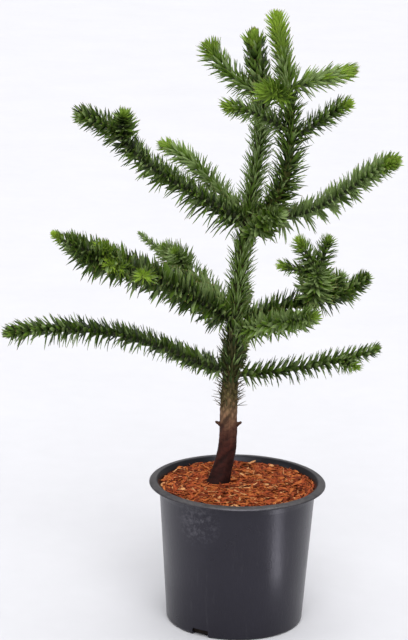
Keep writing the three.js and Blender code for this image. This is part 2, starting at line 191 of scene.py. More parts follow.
def ring_walls(rings: int, count: int, inward: bool = False) -> Array:
    """Gives the four-sided faces between rings of points.

    Args:
        rings: How many rings there are.
        count: How many points a ring has.
        inward: True where the rings run clockwise seen from the last one.

    Returns:
        Four corner numbers for each face, ring by ring.
    """
    row = np.arange(rings - 1)[:, None] * count
    here = np.arange(count)[None, :]
    after = (here + 1) % count
    corners = (row + here, row + after, row + count + after, row + count + here)
    walls = np.stack(corners, axis=2).reshape(-1, 4)
    return walls[:, [1, 0, 3, 2]] if inward else walls


def ring_caps(rings: int, count: int) -> Array:
    """Gives the triangles that close the first and the last ring.

    Args:
        rings: How many rings there are.
        count: How many points a ring has.

    Returns:
        Three corner numbers for each face; both middles follow the rings' points.
    """
    here = np.arange(count)
    after = (here + 1) % count
    foot, last = rings * count, (rings - 1) * count
    first_cap = np.stack((np.full(count, foot), after, here), axis=1)
    last_cap = np.stack((np.full(count, foot + 1), last + here, last + after), axis=1)
    return np.concatenate((first_cap, last_cap))


@dataclass
class Surface:
    """Points and faces of one joined mesh, in millimetres."""

    points: list[Array] = field(default_factory=list)
    faces: dict[int, list[Array]] = field(default_factory=dict)
    slots: dict[int, list[Array]] = field(default_factory=dict)
    values: list[Array] = field(default_factory=list)
    count: int = 0

    def add(
        self,
        points: Array,
        faces: list[Array],
        slots: list[int] | None = None,
        values: Array | None = None,
    ) -> None:
        """Adds a body.

        Args:
            points: Its points, one row each.
            faces: Arrays of corner numbers, one array for each number of corners.
            slots: The material slot of each of those arrays.
            values: A number for each point, such as the height of its relief.
        """
        for place, corners in enumerate(faces):
            slot = slots[place] if slots else 0
            sides = corners.shape[1]
            self.faces.setdefault(sides, []).append(corners + self.count)
            self.slots.setdefault(sides, []).append(np.full(len(corners), slot))
        self.points.append(points)
        self.values.append(np.zeros(len(points)) if values is None else values)
        self.count += len(points)

    def build(self, name: str, sharp: float, value_name: str | None = None) -> Piece:
        """Makes the object, smooth except along sharp edges.

        Args:
            name: The piece's name.
            sharp: Edges that turn by more than this many degrees stay sharp.
            value_name: Name of the attribute that keeps the points' numbers.

        Returns:
            The object, linked to the scene.
        """
        mesh = bpy.data.meshes.new(name)
        points = np.concatenate(self.points) * MM
        kinds = sorted(self.faces)
        arrays = [np.concatenate(self.faces[sides]) for sides in kinds]
        slots = np.concatenate([slot for sides in kinds for slot in self.slots[sides]])
        corners = np.concatenate([array.ravel() for array in arrays])
        sizes = np.concatenate([np.full(len(array), array.shape[1]) for array in arrays])
        starts = np.concatenate(([0], np.cumsum(sizes)[:-1]))
        mesh.vertices.add(len(points))
        mesh.vertices.foreach_set("co", points.astype(np.float32).ravel())
        mesh.loops.add(len(corners))
        mesh.loops.foreach_set("vertex_index", corners.astype(np.int32))
        mesh.polygons.add(len(sizes))
        mesh.polygons.foreach_set("loop_start", starts.astype(np.int32))
        mesh.polygons.foreach_set("material_index", slots.astype(np.int32))
        mesh.update(calc_edges=True)
        mesh.validate()
        mesh.shade_smooth()
        mesh.set_sharp_from_angle(angle=math.radians(sharp))
        if value_name:
            kept = mesh.attributes.new(value_name, "FLOAT", "POINT")
            kept.data.foreach_set("value", np.concatenate(self.values).astype(np.float32))
        made = bpy.data.objects.new(name, mesh)
        bpy.context.scene.collection.objects.link(made)
        return made


def dress(piece: Piece, materials: list[Material], slot: str, nodes: list[str]) -> Piece:
    """Gives a piece its materials and its body, logs its slot and hides the CAD nodes it stands
    for.

    Args:
        piece: The new object.
        materials: Its materials, in slot order.
        slot: The record's material slot.
        nodes: The CAD nodes that it replaces.

    Returns:
        The same object.
    """
    for material in materials:
        piece.data.materials.append(material)
    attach(piece, BODY)
    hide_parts(*nodes)
    triangles = sum(len(face.vertices) - 2 for face in piece.data.polygons)
    LOG.info("%s: %d triangles, slot %s", piece.name, triangles, slot)
    return piece


class NodeSheet:
    """Adds and links the nodes of one shader tree."""

    def __init__(self, tree: Tree) -> None:
        """Starts from a tree's own nodes."""
        self.tree = tree

    def add(
        self, kind: str, inputs: dict[str | int, object] | None = None, **settings: object
    ) -> Node:
        """Adds a node.

        Args:
            kind: The node's type name.
            inputs: Values for its sockets, or the sockets that feed them.
            settings: Values for its own properties.

        Returns:
            The node.
        """
        node = self.tree.nodes.new(kind)
        for name, value in settings.items():
            setattr(node, name, value)
        for name, value in (inputs or {}).items():
            if isinstance(value, Socket):
                self.tree.links.new(value, node.inputs[name])
            else:
                node.inputs[name].default_value = value
        return node

    def place(self) -> Socket:
        """Gives the place on the object, in metres."""
        return self.add("ShaderNodeTexCoord").outputs["Object"]

    def facing(self) -> Socket:
        """Gives the direction that the surface faces."""
        return self.add("ShaderNodeNewGeometry").outputs["Normal"]

    def axis(self, vector: Socket, name: str) -> Socket:
        """Gives one axis of a vector."""
        return self.add("ShaderNodeSeparateXYZ", {0: vector}).outputs[name]

    def stretched(self, place: Socket, scale: object) -> Socket:
        """Scales a place along each axis."""
        return self.add("ShaderNodeMapping", {"Vector": place, "Scale": scale}).outputs[0]

    def maths(self, operation: str, *values: object) -> Socket:
        """Works out a value from one to three others."""
        node = self.add("ShaderNodeMath", dict(enumerate(values)), operation=operation)
        return node.outputs[0]

    def vectors(self, operation: str, one: object, other: object, out: str = "Vector") -> Socket:
        """Works out a vector or a value from two vectors."""
        node = self.add("ShaderNodeVectorMath", {0: one, 1: other}, operation=operation)
        return node.outputs[out]

    def spread(self, value: Socket, low: object, high: object, to: Pair = (0.0, 1.0)) -> Socket:
        """Maps a value from one range to another, clamped."""
        node = self.add("ShaderNodeMapRange", {0: value, 1: low, 2: high, 3: to[0], 4: to[1]})
        return node.outputs[0]

    def mix(self, share: object, one: object, other: object, how: str = "MIX") -> Socket:
        """Mixes two colours by a share."""
        inputs = {0: share, 6: one, 7: other}
        return self.add("ShaderNodeMix", inputs, data_type="RGBA", blend_type=how).outputs[2]

    def shade(self, colour: Socket, value: Socket) -> Socket:
        """Multiplies a colour by a value."""
        grey = self.add("ShaderNodeCombineColor", {0: value, 1: value, 2: value})
        return self.mix(1.0, colour, grey.outputs[0], "MULTIPLY")

    def noise(self, place: Socket, scale: object, detail: float, rough: float = 0.55) -> Socket:
        """Gives a noise value at a place."""
        inputs = {"Vector": place, "Scale": scale, "Detail": detail, "Roughness": rough}
        return self.add("ShaderNodeTexNoise", inputs).outputs[0]

    def ramp(self, value: Socket, stops: tuple[tuple[float, str], ...]) -> Socket:
        """Turns a value into a colour along named stops.

        Args:
            value: The value, from 0 to 1.
            stops: Places along the ramp and their hex colours.

        Returns:
            The colour's socket.
        """
        node = self.add("ShaderNodeValToRGB", {0: value})
        marks = node.color_ramp.elements
        while len(marks) < len(stops):
            marks.new(1.0)
        for mark, (place, code) in zip(marks, stops, strict=True):
            mark.position = place
            mark.color = linear(code)
        return node.outputs[0]


class EffectSheet(NodeSheet):
    """The nodes of a new shader group with named sockets."""

    DIM = (0.1, 0.1, 0.1, 1.0)
    PALE = (0.3, 0.3, 0.3, 1.0)
    KINDS = {1: "NodeSocketFloat", 3: "NodeSocketVector", 4: "NodeSocketColor"}

    def __init__(self, name: str, **inputs: float | Place | Colour) -> None:
        """Starts a group.

        Args:
            name: The group's name.
            inputs: Each input's value: a number, a vector or a colour.
        """
        super().__init__(bpy.data.node_groups.new(name, "ShaderNodeTree"))
        for label, value in inputs.items():
            self._socket(label, "INPUT", np.size(value)).default_value = value
        self.given = self.add("NodeGroupInput").outputs

    def _socket(self, label: str, way: str, size: int) -> bpy.types.NodeTreeInterfaceSocket:
        """Adds a socket that holds so many numbers."""
        kind = self.KINDS[size]
        return self.tree.interface.new_socket(label, in_out=way, socket_type=kind)

    def give(self, **outputs: Socket) -> Tree:
        """Ends the group.

        Args:
            outputs: The socket behind each output, a colour or a number by its name.

        Returns:
            The finished group.
        """
        for label in outputs:
            self._socket(label, "OUTPUT", 4 if label == "Colour" else 1)
        self.add("NodeGroupOutput", outputs)
        return self.tree


class Effects:
    """Shader node groups that several finishes share, each built once."""

    @staticmethod
    @cache
    def mottle() -> Tree:
        """Gives the uneven tone that two sizes of blotches make.

        Returns:
            The group, with a colour and the mask that mixed it.
        """
        finer, broad_share, middle = 6.3, 0.62, 0.5
        tones = {"Dark": EffectSheet.DIM, "Light": EffectSheet.PALE}
        sheet = EffectSheet("Mottle", Scale=40.0, Contrast=0.2, **tones)
        given, place = sheet.given, sheet.place()
        broad = sheet.noise(place, given["Scale"], detail=3.0)
        fine_scale = sheet.maths("MULTIPLY", given["Scale"], finer)
        fine = sheet.noise(place, fine_scale, detail=2.0, rough=0.6)
        part = sheet.maths("MULTIPLY", broad, broad_share)
        value = sheet.maths("MULTIPLY_ADD", fine, 1.0 - broad_share, part)
        low = sheet.maths("SUBTRACT", middle, given["Contrast"])
        high = sheet.maths("ADD", middle, given["Contrast"])
        mask = sheet.spread(value, low, high)
        return sheet.give(Colour=sheet.mix(mask, given["Dark"], given["Light"]), Mask=mask)

    @staticmethod
    @cache
    def grain() -> Tree:
        """Gives the height of a fine grain that can be drawn out.

        Returns:
            The group, with a height from 0 to 1.
        """
        sheet = EffectSheet("Grain", Scale=400.0, Stretch=(1.0, 1.0, 1.0))
        drawn = sheet.stretched(sheet.place(), sheet.given["Stretch"])
        return sheet.give(Height=sheet.noise(drawn, sheet.given["Scale"], detail=4.0, rough=0.6))

    @staticmethod
    @cache
    def dust() -> Tree:
        """Lays a pale dusting on what faces up, which also stands in for light falling from above:
        partly painted light.

        Returns:
            The group, with a colour and the mask of the dusting and painted top light.
        """
        steep, level = 0.05, 0.85
        patch_range, patchiness = (0.3, 0.65), (0.35, 1.0)
        tones = {"Colour": EffectSheet.DIM, "Dust": EffectSheet.PALE}
        sheet = EffectSheet("Dust", Amount=0.5, Scale=120.0, **tones)
        given = sheet.given
        lying = sheet.spread(sheet.axis(sheet.facing(), "Z"), steep, level)
        patchy = sheet.noise(sheet.place(), given["Scale"], detail=4.0, rough=0.65)
        patches = sheet.spread(patchy, *patch_range, patchiness)
        mask = sheet.maths("MULTIPLY", sheet.maths("MULTIPLY", given["Amount"], patches), lying)
        return sheet.give(Colour=sheet.mix(mask, given["Colour"], given["Dust"]), Mask=mask)

    @staticmethod
    @cache
    def blade() -> Tree:
        """Draws a leaf's foot colour, its rim and its fine lengthwise lines; where the foot colour
        is darker than the blade it is painted shade at the leaf's base.

        Returns:
            The group, with a colour, a roughness and the lines' height.
        """
        foot_tone_and_shade_reach, rim_reach, rim_share = (0.1, 0.5), (0.36, 0.5), 0.8
        line_scale, line_range = (26.0, 1.6, 1.0), (0.3, 0.7)
        line_tone, line_roughness = (0.82, 1.16), (0.42, 0.6)
        dim, pale = EffectSheet.DIM, EffectSheet.PALE
        sheet = EffectSheet("Blade", Blade=dim, Foot=pale, Rim=pale)
        given = sheet.given
        place = sheet.add("ShaderNodeUVMap", uv_map=LeafBlade.MAP).outputs[0]
        # The foot mask: where the foot colour is darker than the blade, it lays painted shade at
        # the leaf's base.
        foot = sheet.spread(sheet.axis(place, "Y"), *foot_tone_and_shade_reach, (1.0, 0.0))
        from_middle = sheet.maths("SUBTRACT", sheet.axis(place, "X"), 0.5)
        rim = sheet.spread(sheet.maths("ABSOLUTE", from_middle), *rim_reach, (0.0, rim_share))
        lines = sheet.noise(sheet.stretched(place, line_scale), 1.0, detail=2.0, rough=0.5)
        plain = sheet.mix(foot, given["Blade"], given["Foot"])
        rimmed = sheet.mix(rim, plain, given["Rim"])
        return sheet.give(
            Colour=sheet.shade(rimmed, sheet.spread(lines, *line_range, line_tone)),
            Roughness=sheet.spread(lines, *line_range, line_roughness),
            Height=lines,
        )


@dataclass(frozen=True)
class Grain:
    """A fine relief: its scale, its depth in metres, how much shows, how it is drawn out."""

    scale: float
    depth: float
    strength: float
    stretch: Place = (1.0, 1.0, 1.0)


class Paint:
    """A new material with its shader, ready for a finish to wire up."""

    def __init__(self, name: str) -> None:
        """Starts a material.

        Args:
            name: Its name.
        """
        self.material = bpy.data.materials.new(name)
        self.material.use_nodes = True
        self.sheet = NodeSheet(self.material.node_tree)
        self.shader = self.material.node_tree.nodes["Principled BSDF"]

    def group(self, tree: Tree, **inputs: object) -> Outputs:
        """Places a shared effect with its own values, and gives its outputs."""
        return self.sheet.add("ShaderNodeGroup", inputs, node_tree=tree).outputs

    def mottle(self, dark: str, light: str, scale: float, **more: float) -> Outputs:
        """Places the mottle of two hex colours, and gives its outputs."""
        tones = {"Dark": linear(dark), "Light": linear(light)}
        return self.group(Effects.mottle(), Scale=scale, **tones, **more)

    def feed(self, target: str, source: Socket) -> None:
        """Links a socket to the shader."""
        self.material.node_tree.links.new(source, self.shader.inputs[target])

    def set(self, target: str, value: object) -> None:
        """Sets what is the same all over the surface."""
        self.shader.inputs[target].default_value = value

    def bump(self, height: Socket, depth: float, strength: float) -> None:
        """Raises the surface by a height, whose 1 stands for the depth in metres."""
        inputs = {"Height": height, "Distance": depth, "Strength": strength}
        self.feed("Normal", self.sheet.add("ShaderNodeBump", inputs).outputs[0])

    def grain(self, grain: Grain) -> None:
        """Raises the surface by a fine grain."""
        effect = self.group(Effects.grain(), Scale=grain.scale, Stretch=grain.stretch)
        self.bump(effect["Height"], grain.depth, grain.strength)


@dataclass(frozen=True)
class LeafFinish:
    """The skin of leaves of one tint."""

    name: str
    slot: str
    blade: str
    # The colour at the leaf's base; where darker than the blade it is painted shade near the stem.
    foot: str
    rim: str
    line_depth: float = 0.0002
    line_strength: float = 0.5
    gloss: float = 0.3

    def material(self) -> Material:
        """Makes the leaf skin.

        Returns:
            The material.
        """
        paint = Paint(self.name)
        tones = {"Blade": linear(self.blade), "Foot": linear(self.foot), "Rim": linear(self.rim)}
        effect = paint.group(Effects.blade(), **tones)
        paint.feed("Base Color", effect["Colour"])
        paint.feed("Roughness", effect["Roughness"])
        paint.bump(effect["Height"], self.line_depth, self.line_strength)
        paint.set("Specular IOR Level", self.gloss)
        return paint.material


@dataclass(frozen=True)
class MottledFinish:
    """A skin of two mixed tones. Its usual values are those of fibrous bark."""

    name: str
    dark: str
    light: str
    scale: float = 150.0
    contrast: float = 0.14
    roughness: Pair = (0.7, 0.92)
    gloss: float = 0.15
    grain: Grain | None = Grain(800.0, 0.0006, 0.8)

    def material(self) -> Material:
        """Makes the skin.

        Returns:
            The material.
        """
        paint = Paint(self.name)
        mottle = paint.mottle(self.dark, self.light, self.scale, Contrast=self.contrast)
        paint.feed("Base Color", mottle["Colour"])
        low, high = self.roughness
        if low == high:
            paint.set("Roughness", low)
        else:
            paint.feed("Roughness", paint.sheet.spread(mottle["Mask"], 0.0, 1.0, (low, high)))
        if self.grain:
            paint.grain(self.grain)
        paint.set("Specular IOR Level", self.gloss)
        return paint.material


@dataclass(frozen=True)
class BarkFinish:
    """Bark whose colour changes with height, from wet red-brown to scarred olive."""

    name: str
    stops: tuple[tuple[float, str], ...]
    low: float
    high: float
    patch_scale: float = 70.0
    patch_range: Pair = (0.2, 0.8)
    patch_shift: float = 0.012
    relief_range: Pair = (-0.6, 0.9)
    relief_tone: Pair = (0.38, 1.5)
    dark: Colour = (0.62, 0.6, 0.6, 1.0)
    light: Colour = (1.3, 1.26, 1.2, 1.0)
    scale: float = 150.0
    roughness: Pair = (0.62, 0.86)
    gloss: float = 0.15
    grain: Grain = Grain(520.0, 0.0008, 0.7, (1.0, 1.0, 0.3))

    def material(self) -> Material:
        """Makes the bark, darker in the grooves that the relief attribute marks.

        Returns:
            The material.
        """
        paint = Paint(self.name)
        sheet = paint.sheet
        place = sheet.place()
        uneven = sheet.noise(place, self.patch_scale, detail=3.0)
        shifts = (-self.patch_shift, self.patch_shift)
        shift = sheet.spread(uneven, *self.patch_range, shifts)
        height = sheet.maths("ADD", sheet.axis(place, "Z"), shift)
        bark = sheet.ramp(sheet.spread(height, self.low, self.high), self.stops)
        relief = sheet.add("ShaderNodeAttribute", attribute_name=Limb.RELIEF).outputs["Fac"]
        raised = sheet.spread(relief, *self.relief_range, self.relief_tone)
        mottle = paint.group(Effects.mottle(), Dark=self.dark, Light=self.light, Scale=self.scale)
        colour = sheet.mix(1.0, sheet.shade(bark, raised), mottle["Colour"], "MULTIPLY")
        paint.feed("Base Color", colour)
        paint.feed("Roughness", sheet.spread(mottle["Mask"], 0.0, 1.0, self.roughness))
        paint.grain(self.grain)
        paint.set("Specular IOR Level", self.gloss)
        return paint.material


@dataclass(frozen=True)
class PotFinish:
    """Charcoal moulded plastic with scuffs, a pale dusting that is partly painted top light, a
    rubbing patch that is partly a painted highlight and a painted-shade inside. Lengths are in
    metres.
    """

    dark: str = "#0d0b12"
    light: str = "#15131b"
    scale: float = 14.0
    sheen: str = "#f0eeff"
    # A pale dusting on what faces up: partly real, partly painted light from above.
    dust: str = "#7b7876"
    dust_amount: float = 0.34
    dust_scale: float = 90.0
    scuff: str = "#4c4b4d"
    scuff_scale: float = 75.0
    scuff_run: Place = (1.0, 1.0, 0.16)
    scuff_range: Pair = (0.58, 0.76)
    scuff_share: float = 0.22
    # A pale patch on the front left below the lip: partly real wear from rubbing, partly a painted
    # highlight for glints on the plastic.
    rub: str = "#6d6c72"
    rub_scale: float = 120.0
    rub_place: Place = (-0.07, -0.115, 0.212)
    rub_reach: Pair = (0.012, 0.05)
    rub_range: Pair = (0.46, 0.7)
    rub_share: float = 0.5
    # Painted shade: a near-black colour for the surfaces that face in towards the axis, the shaded
    # inside of the pot.
    damp: str = "#050405"
    damp_range: Pair = (-0.07, -0.02)
    damp_share: float = 0.94
    roughness: Pair = (0.26, 0.36)
    dust_roughness: float = 0.4
    grain: Grain = Grain(260.0, 0.0006, 0.35, (1.0, 1.0, 0.5))

    def material(self) -> Material:
        """Makes the satin plastic, with painted shade that darkens its inside nearly to black.

        Returns:
            The material.
        """
        paint = Paint("nursery_pot_plastic")
        paint.set("Specular Tint", linear(self.sheen))
        sheet = paint.sheet
        place = sheet.place()
        mottle = paint.mottle(self.dark, self.light, self.scale)
        # Pale dusting on up-facing surfaces, partly real and partly painted light from above.
        dust = {"Dust": linear(self.dust), "Amount": self.dust_amount, "Scale": self.dust_scale}
        dusty_and_top_lit = paint.group(Effects.dust(), Colour=mottle["Colour"], **dust)
        drawn = sheet.stretched(place, self.scuff_run)
        runs = sheet.noise(drawn, self.scuff_scale, detail=5.0, rough=0.7)
        scuffs = sheet.spread(runs, *self.scuff_range, (0.0, self.scuff_share))
        scuffed = sheet.mix(scuffs, dusty_and_top_lit["Colour"], linear(self.scuff))
        # Painted highlight and wear: a pale mottled patch round one place on the front left.
        rub_and_glint_noise = sheet.noise(place, self.rub_scale, detail=5.0, rough=0.75)
        away = sheet.vectors("DISTANCE", place, self.rub_place, "Value")
        rub_and_glint_mask = sheet.maths(
            "MULTIPLY",
            sheet.spread(rub_and_glint_noise, *self.rub_range, (0.0, self.rub_share)),
            sheet.spread(away, *self.rub_reach, (1.0, 0.0)),
        )
        worn_and_glinting = sheet.mix(rub_and_glint_mask, scuffed, linear(self.rub))
        # Painted shade: what faces in towards the axis is darkened nearly to black.
        flat = sheet.vectors("MULTIPLY", place, (1.0, 1.0, 0.0))
        outward = sheet.vectors("DOT_PRODUCT", flat, sheet.facing(), "Value")
        damp = sheet.spread(outward, *self.damp_range, (self.damp_share, 0.0))
        paint.feed("Base Color", sheet.mix(damp, worn_and_glinting, linear(self.damp)))
        satin = sheet.spread(mottle["Mask"], 0.0, 1.0, self.roughness)
        dulled = sheet.maths("MULTIPLY_ADD", dusty_and_top_lit["Mask"], self.dust_roughness, satin)
        paint.feed("Roughness", dulled)
        paint.grain(self.grain)
        return paint.material


# Where a foot colour is darker than its blade (straw, olive, deep, green, moss) it is painted shade
# at the leaf's base near the stem; the paler feet of fresh and lime are their own colour.
LEAF_FINISHES: dict[Tint, LeafFinish] = {
    STRAW: LeafFinish("leaf_straw", "old_leaves", "#665337", "#46391f", "#8f7e57"),
    OLIVE: LeafFinish("leaf_olive", "old_leaves", "#4e4c29", "#2d2c15", "#7c774a"),
    DEEP: LeafFinish("leaf_deep", "leaves", "#3a501b", "#1d2b0a", "#6b7d48"),
    GREEN: LeafFinish("leaf_green", "leaves", "#597525", "#33470f", "#869d55"),
    # Moss is partly painted light: back-lit leaves and sheen on the blades.
    MOSS: LeafFinish("leaf_moss", "leaves", "#889f60", "#5a7036", "#acbd88"),
    FRESH: LeafFinish("leaf_fresh", "young_leaves", "#73902c", "#7f9b3c", "#9fb65a"),
    LIME: LeafFinish("leaf_lime", "young_leaves", "#8cab31", "#a3bc52", "#b4cb62"),
}
LEAF_SPINE = MottledFinish(
    "leaf_spine", "#6d5a34", "#a08a55", 90.0, 0.2, (0.5, 0.5), gloss=0.5, grain=None
)
# Twig skin: dark green, darkened further as painted shade for twigs deep among the leaves.
SHADED_TWIG_RIND = MottledFinish(
    "twig_rind", "#1d2410", "#363d1b", 160.0, 0.2, (0.55, 0.75), 0.5, Grain(900.0, 0.0004, 0.6)
)
CHIP_FINISHES: dict[ChipTint, MottledFinish] = {
    UMBER: MottledFinish("chip_umber", "#41180a", "#77331a"),
    RUST: MottledFinish("chip_rust", "#7b3018", "#a9532b"),
    AMBER: MottledFinish("chip_amber", "#944820", "#c1713a"),
    TAN: MottledFinish("chip_tan", "#b07346", "#d6a26e"),
}
CHIP_SHARES: dict[ChipTint, float] = {UMBER: 0.26, RUST: 0.40, AMBER: 0.26, TAN: 0.08}
MULCH_BED = MottledFinish("mulch_bed", "#2e1208", "#6a3119")
POTTING_SOIL = MottledFinish("potting_soil", "#0c0907", "#241a13")
STUDIO_FLOOR = MottledFinish(
    "studio_floor", "#c6c6ca", "#cacace", 3.0, 0.2, (0.9, 0.9), gloss=0.1, grain=None
)
TRUNK_BARK = BarkFinish(
    "trunk_bark",
    (
        (0.0, "#230d0b"),
        (0.12, "#301411"),
        (0.34, "#41201a"),
        (0.46, "#624133"),
        (0.58, "#7f644c"),
        (0.72, "#5f5535"),
        (1.0, "#2b2f16"),
    ),
    low=0.24,
    high=0.46,
)
GREEN_BARK = BarkFinish("green_bark", ((0.0, "#5a5a33"), (1.0, "#56682f")), low=0.7, high=1.05)


class GrowthLine:
    """A smooth line through points, walked by distance from its start."""

    SAMPLES = 480
    STRIDE = 4
    LEAST_SIDE = 0.1

    def __init__(self, points: Array) -> None:
        """Fits the line.

        Args:
            points: The points it passes through, one row each.
        """
        self.points = np.asarray(points, float)
        self.shares = np.linspace(0.0, 1.0, self.SAMPLES + 1)
        self.spots = self._spline(self.shares)
        steps = np.linalg.norm(np.diff(self.spots, axis=0), axis=1)
        self.walked = np.concatenate(([0.0], np.cumsum(steps)))
        self.length = float(self.walked[-1])
        self.ways = unit(np.gradient(self.spots, axis=0))
        self.sides = self._carried_sides()

    def _spline(self, shares: Array) -> Array:
        """Reads the centripetal spline.

        Args:
            shares: Shares of its knots, from 0 to 1.

        Returns:
            The points there, one row each.
        """
        first = 2.0 * self.points[0] - self.points[1]
        last = 2.0 * self.points[-1] - self.points[-2]
        knots = np.vstack((first, self.points, last))
        place = shares * (len(self.points) - 1)
        span = np.minimum(place.astype(int), len(self.points) - 2)
        part = (place - span)[:, None]
        a, b, c, d = (knots[span + step] for step in range(4))
        gaps = [
            np.sqrt(np.linalg.norm(two - one, axis=1, keepdims=True))
            for one, two in ((a, b), (b, c), (c, d))
        ]
        leave = (b - a) / gaps[0] - (c - a) / (gaps[0] + gaps[1]) + (c - b) / gaps[1]
        reach = (c - b) / gaps[1] - (d - b) / (gaps[1] + gaps[2]) + (d - c) / gaps[2]
        leave, reach = leave * gaps[1], reach * gaps[1]
        square = -3.0 * b + 3.0 * c - 2.0 * leave - reach
        cube = 2.0 * b - 2.0 * c + leave + reach
        return b + part * (leave + part * (square + part * cube))

    def _carried_sides(self) -> Array:
        """Carries one sideways direction along the line without twisting it.

        Returns:
            The direction at each sample, one row each.
        """
        side = np.cross(UPRIGHT, self.ways[0])
        if np.linalg.norm(side) < self.LEAST_SIDE:
            side = np.cross((1.0, 0.0, 0.0), self.ways[0])
        sides = []
        for way in self.ways:
            side = side - way * side.dot(way)
            side = side / np.linalg.norm(side)
            sides.append(side)
        return np.array(sides)

    def _read(self, rows: Array, distance: Array) -> Array:
        """Reads rows that go with the line's samples at distances along it."""
        columns = [np.interp(distance, self.walked, column) for column in rows.T]
        return np.stack(columns, axis=1)

    def spot(self, distance: Array) -> Array:
        """Gives the points at distances along the line."""
        return self._read(self.spots, np.atleast_1d(distance))

    def frames(self, distance: Array) -> tuple[Array, Array, Array]:
        """Gives the directions along, to the side of and off the line.

        Args:
            distance: Distances along the line.

        Returns:
            Three arrays of unit rows at right angles to each other.
        """
        along = unit(self._read(self.ways, distance))
        side = self._read(self.sides, distance)
        side = unit(side - along * np.sum(side * along, axis=1, keepdims=True))
        return along, side, np.cross(along, side)

    def share(self, distance: Array) -> Array:
        """Gives the share of the knots at distances along the line."""
        return np.interp(distance, self.walked, self.shares)

    def at_height(self, height: Array) -> Array:
        """Gives the distances at which a rising line reaches heights."""
        return np.interp(height, self.spots[:, 2], self.walked)

    def gap_to(self, places: Array) -> tuple[Array, Array]:
        """Gives how far places are from the line, and where along it.

        Args:
            places: Points, one row each.

        Returns:
            The distance to the line, and the distance along it.
        """
        spots = self.spots[:: self.STRIDE]
        apart = np.linalg.norm(places[:, None, :] - spots[None, :, :], axis=2)
        nearest = apart.argmin(axis=1)
        walked = self.walked[:: self.STRIDE]
        return apart[np.arange(len(places)), nearest], walked[nearest]


def tube(
    surface: Surface,
    centres: Array,
    sides: Array,
    ups: Array,
    radii: Array,
    values: Array | None = None,
) -> None:
    """Adds a closed tube to a surface.

    Args:
        surface: Where the tube goes.
        centres: The middle of each ring.
        sides: Each ring's first direction.
        ups: Each ring's second direction.
        radii: The radius of each point, ring by ring.
        values: A number for each point, ring by ring.
    """
    rings, count = radii.shape
    turns = round_turns(count)
    ring = sides[:, None, :] * np.cos(turns)[None, :, None]
    ring = ring + ups[:, None, :] * np.sin(turns)[None, :, None]
    points = centres[:, None, :] + ring * radii[:, :, None]
    points = np.concatenate((points.reshape(-1, 3), centres[:1], centres[-1:]))
    kept = None
    if values is not None:
        kept = np.concatenate((values.ravel(), values[0, :1], values[-1, :1]))
    surface.add(points, [ring_walls(rings, count), ring_caps(rings, count)], values=kept)


def turned(surface: Surface, profile: list[Pair], sides: int) -> None:
    """Adds a body turned round the upright, closed on it at both ends.

    Args:
        surface: Where the body goes.
        profile: Radius and height, from the axis round to the axis, counter-clockwise.
        sides: How many sides a ring has.
    """
    rings = np.array(profile[1:-1])
    turns = round_turns(sides)
    circle = np.column_stack((np.cos(turns), np.sin(turns)))
    points = np.concatenate(
        [np.column_stack((circle * radius, np.full(sides, rise))) for radius, rise in rings]
        + [np.array([[0.0, 0.0, profile[0][1]], [0.0, 0.0, profile[-1][1]]])]
    )
    surface.add(points, [ring_walls(len(rings), sides), ring_caps(len(rings), sides)])


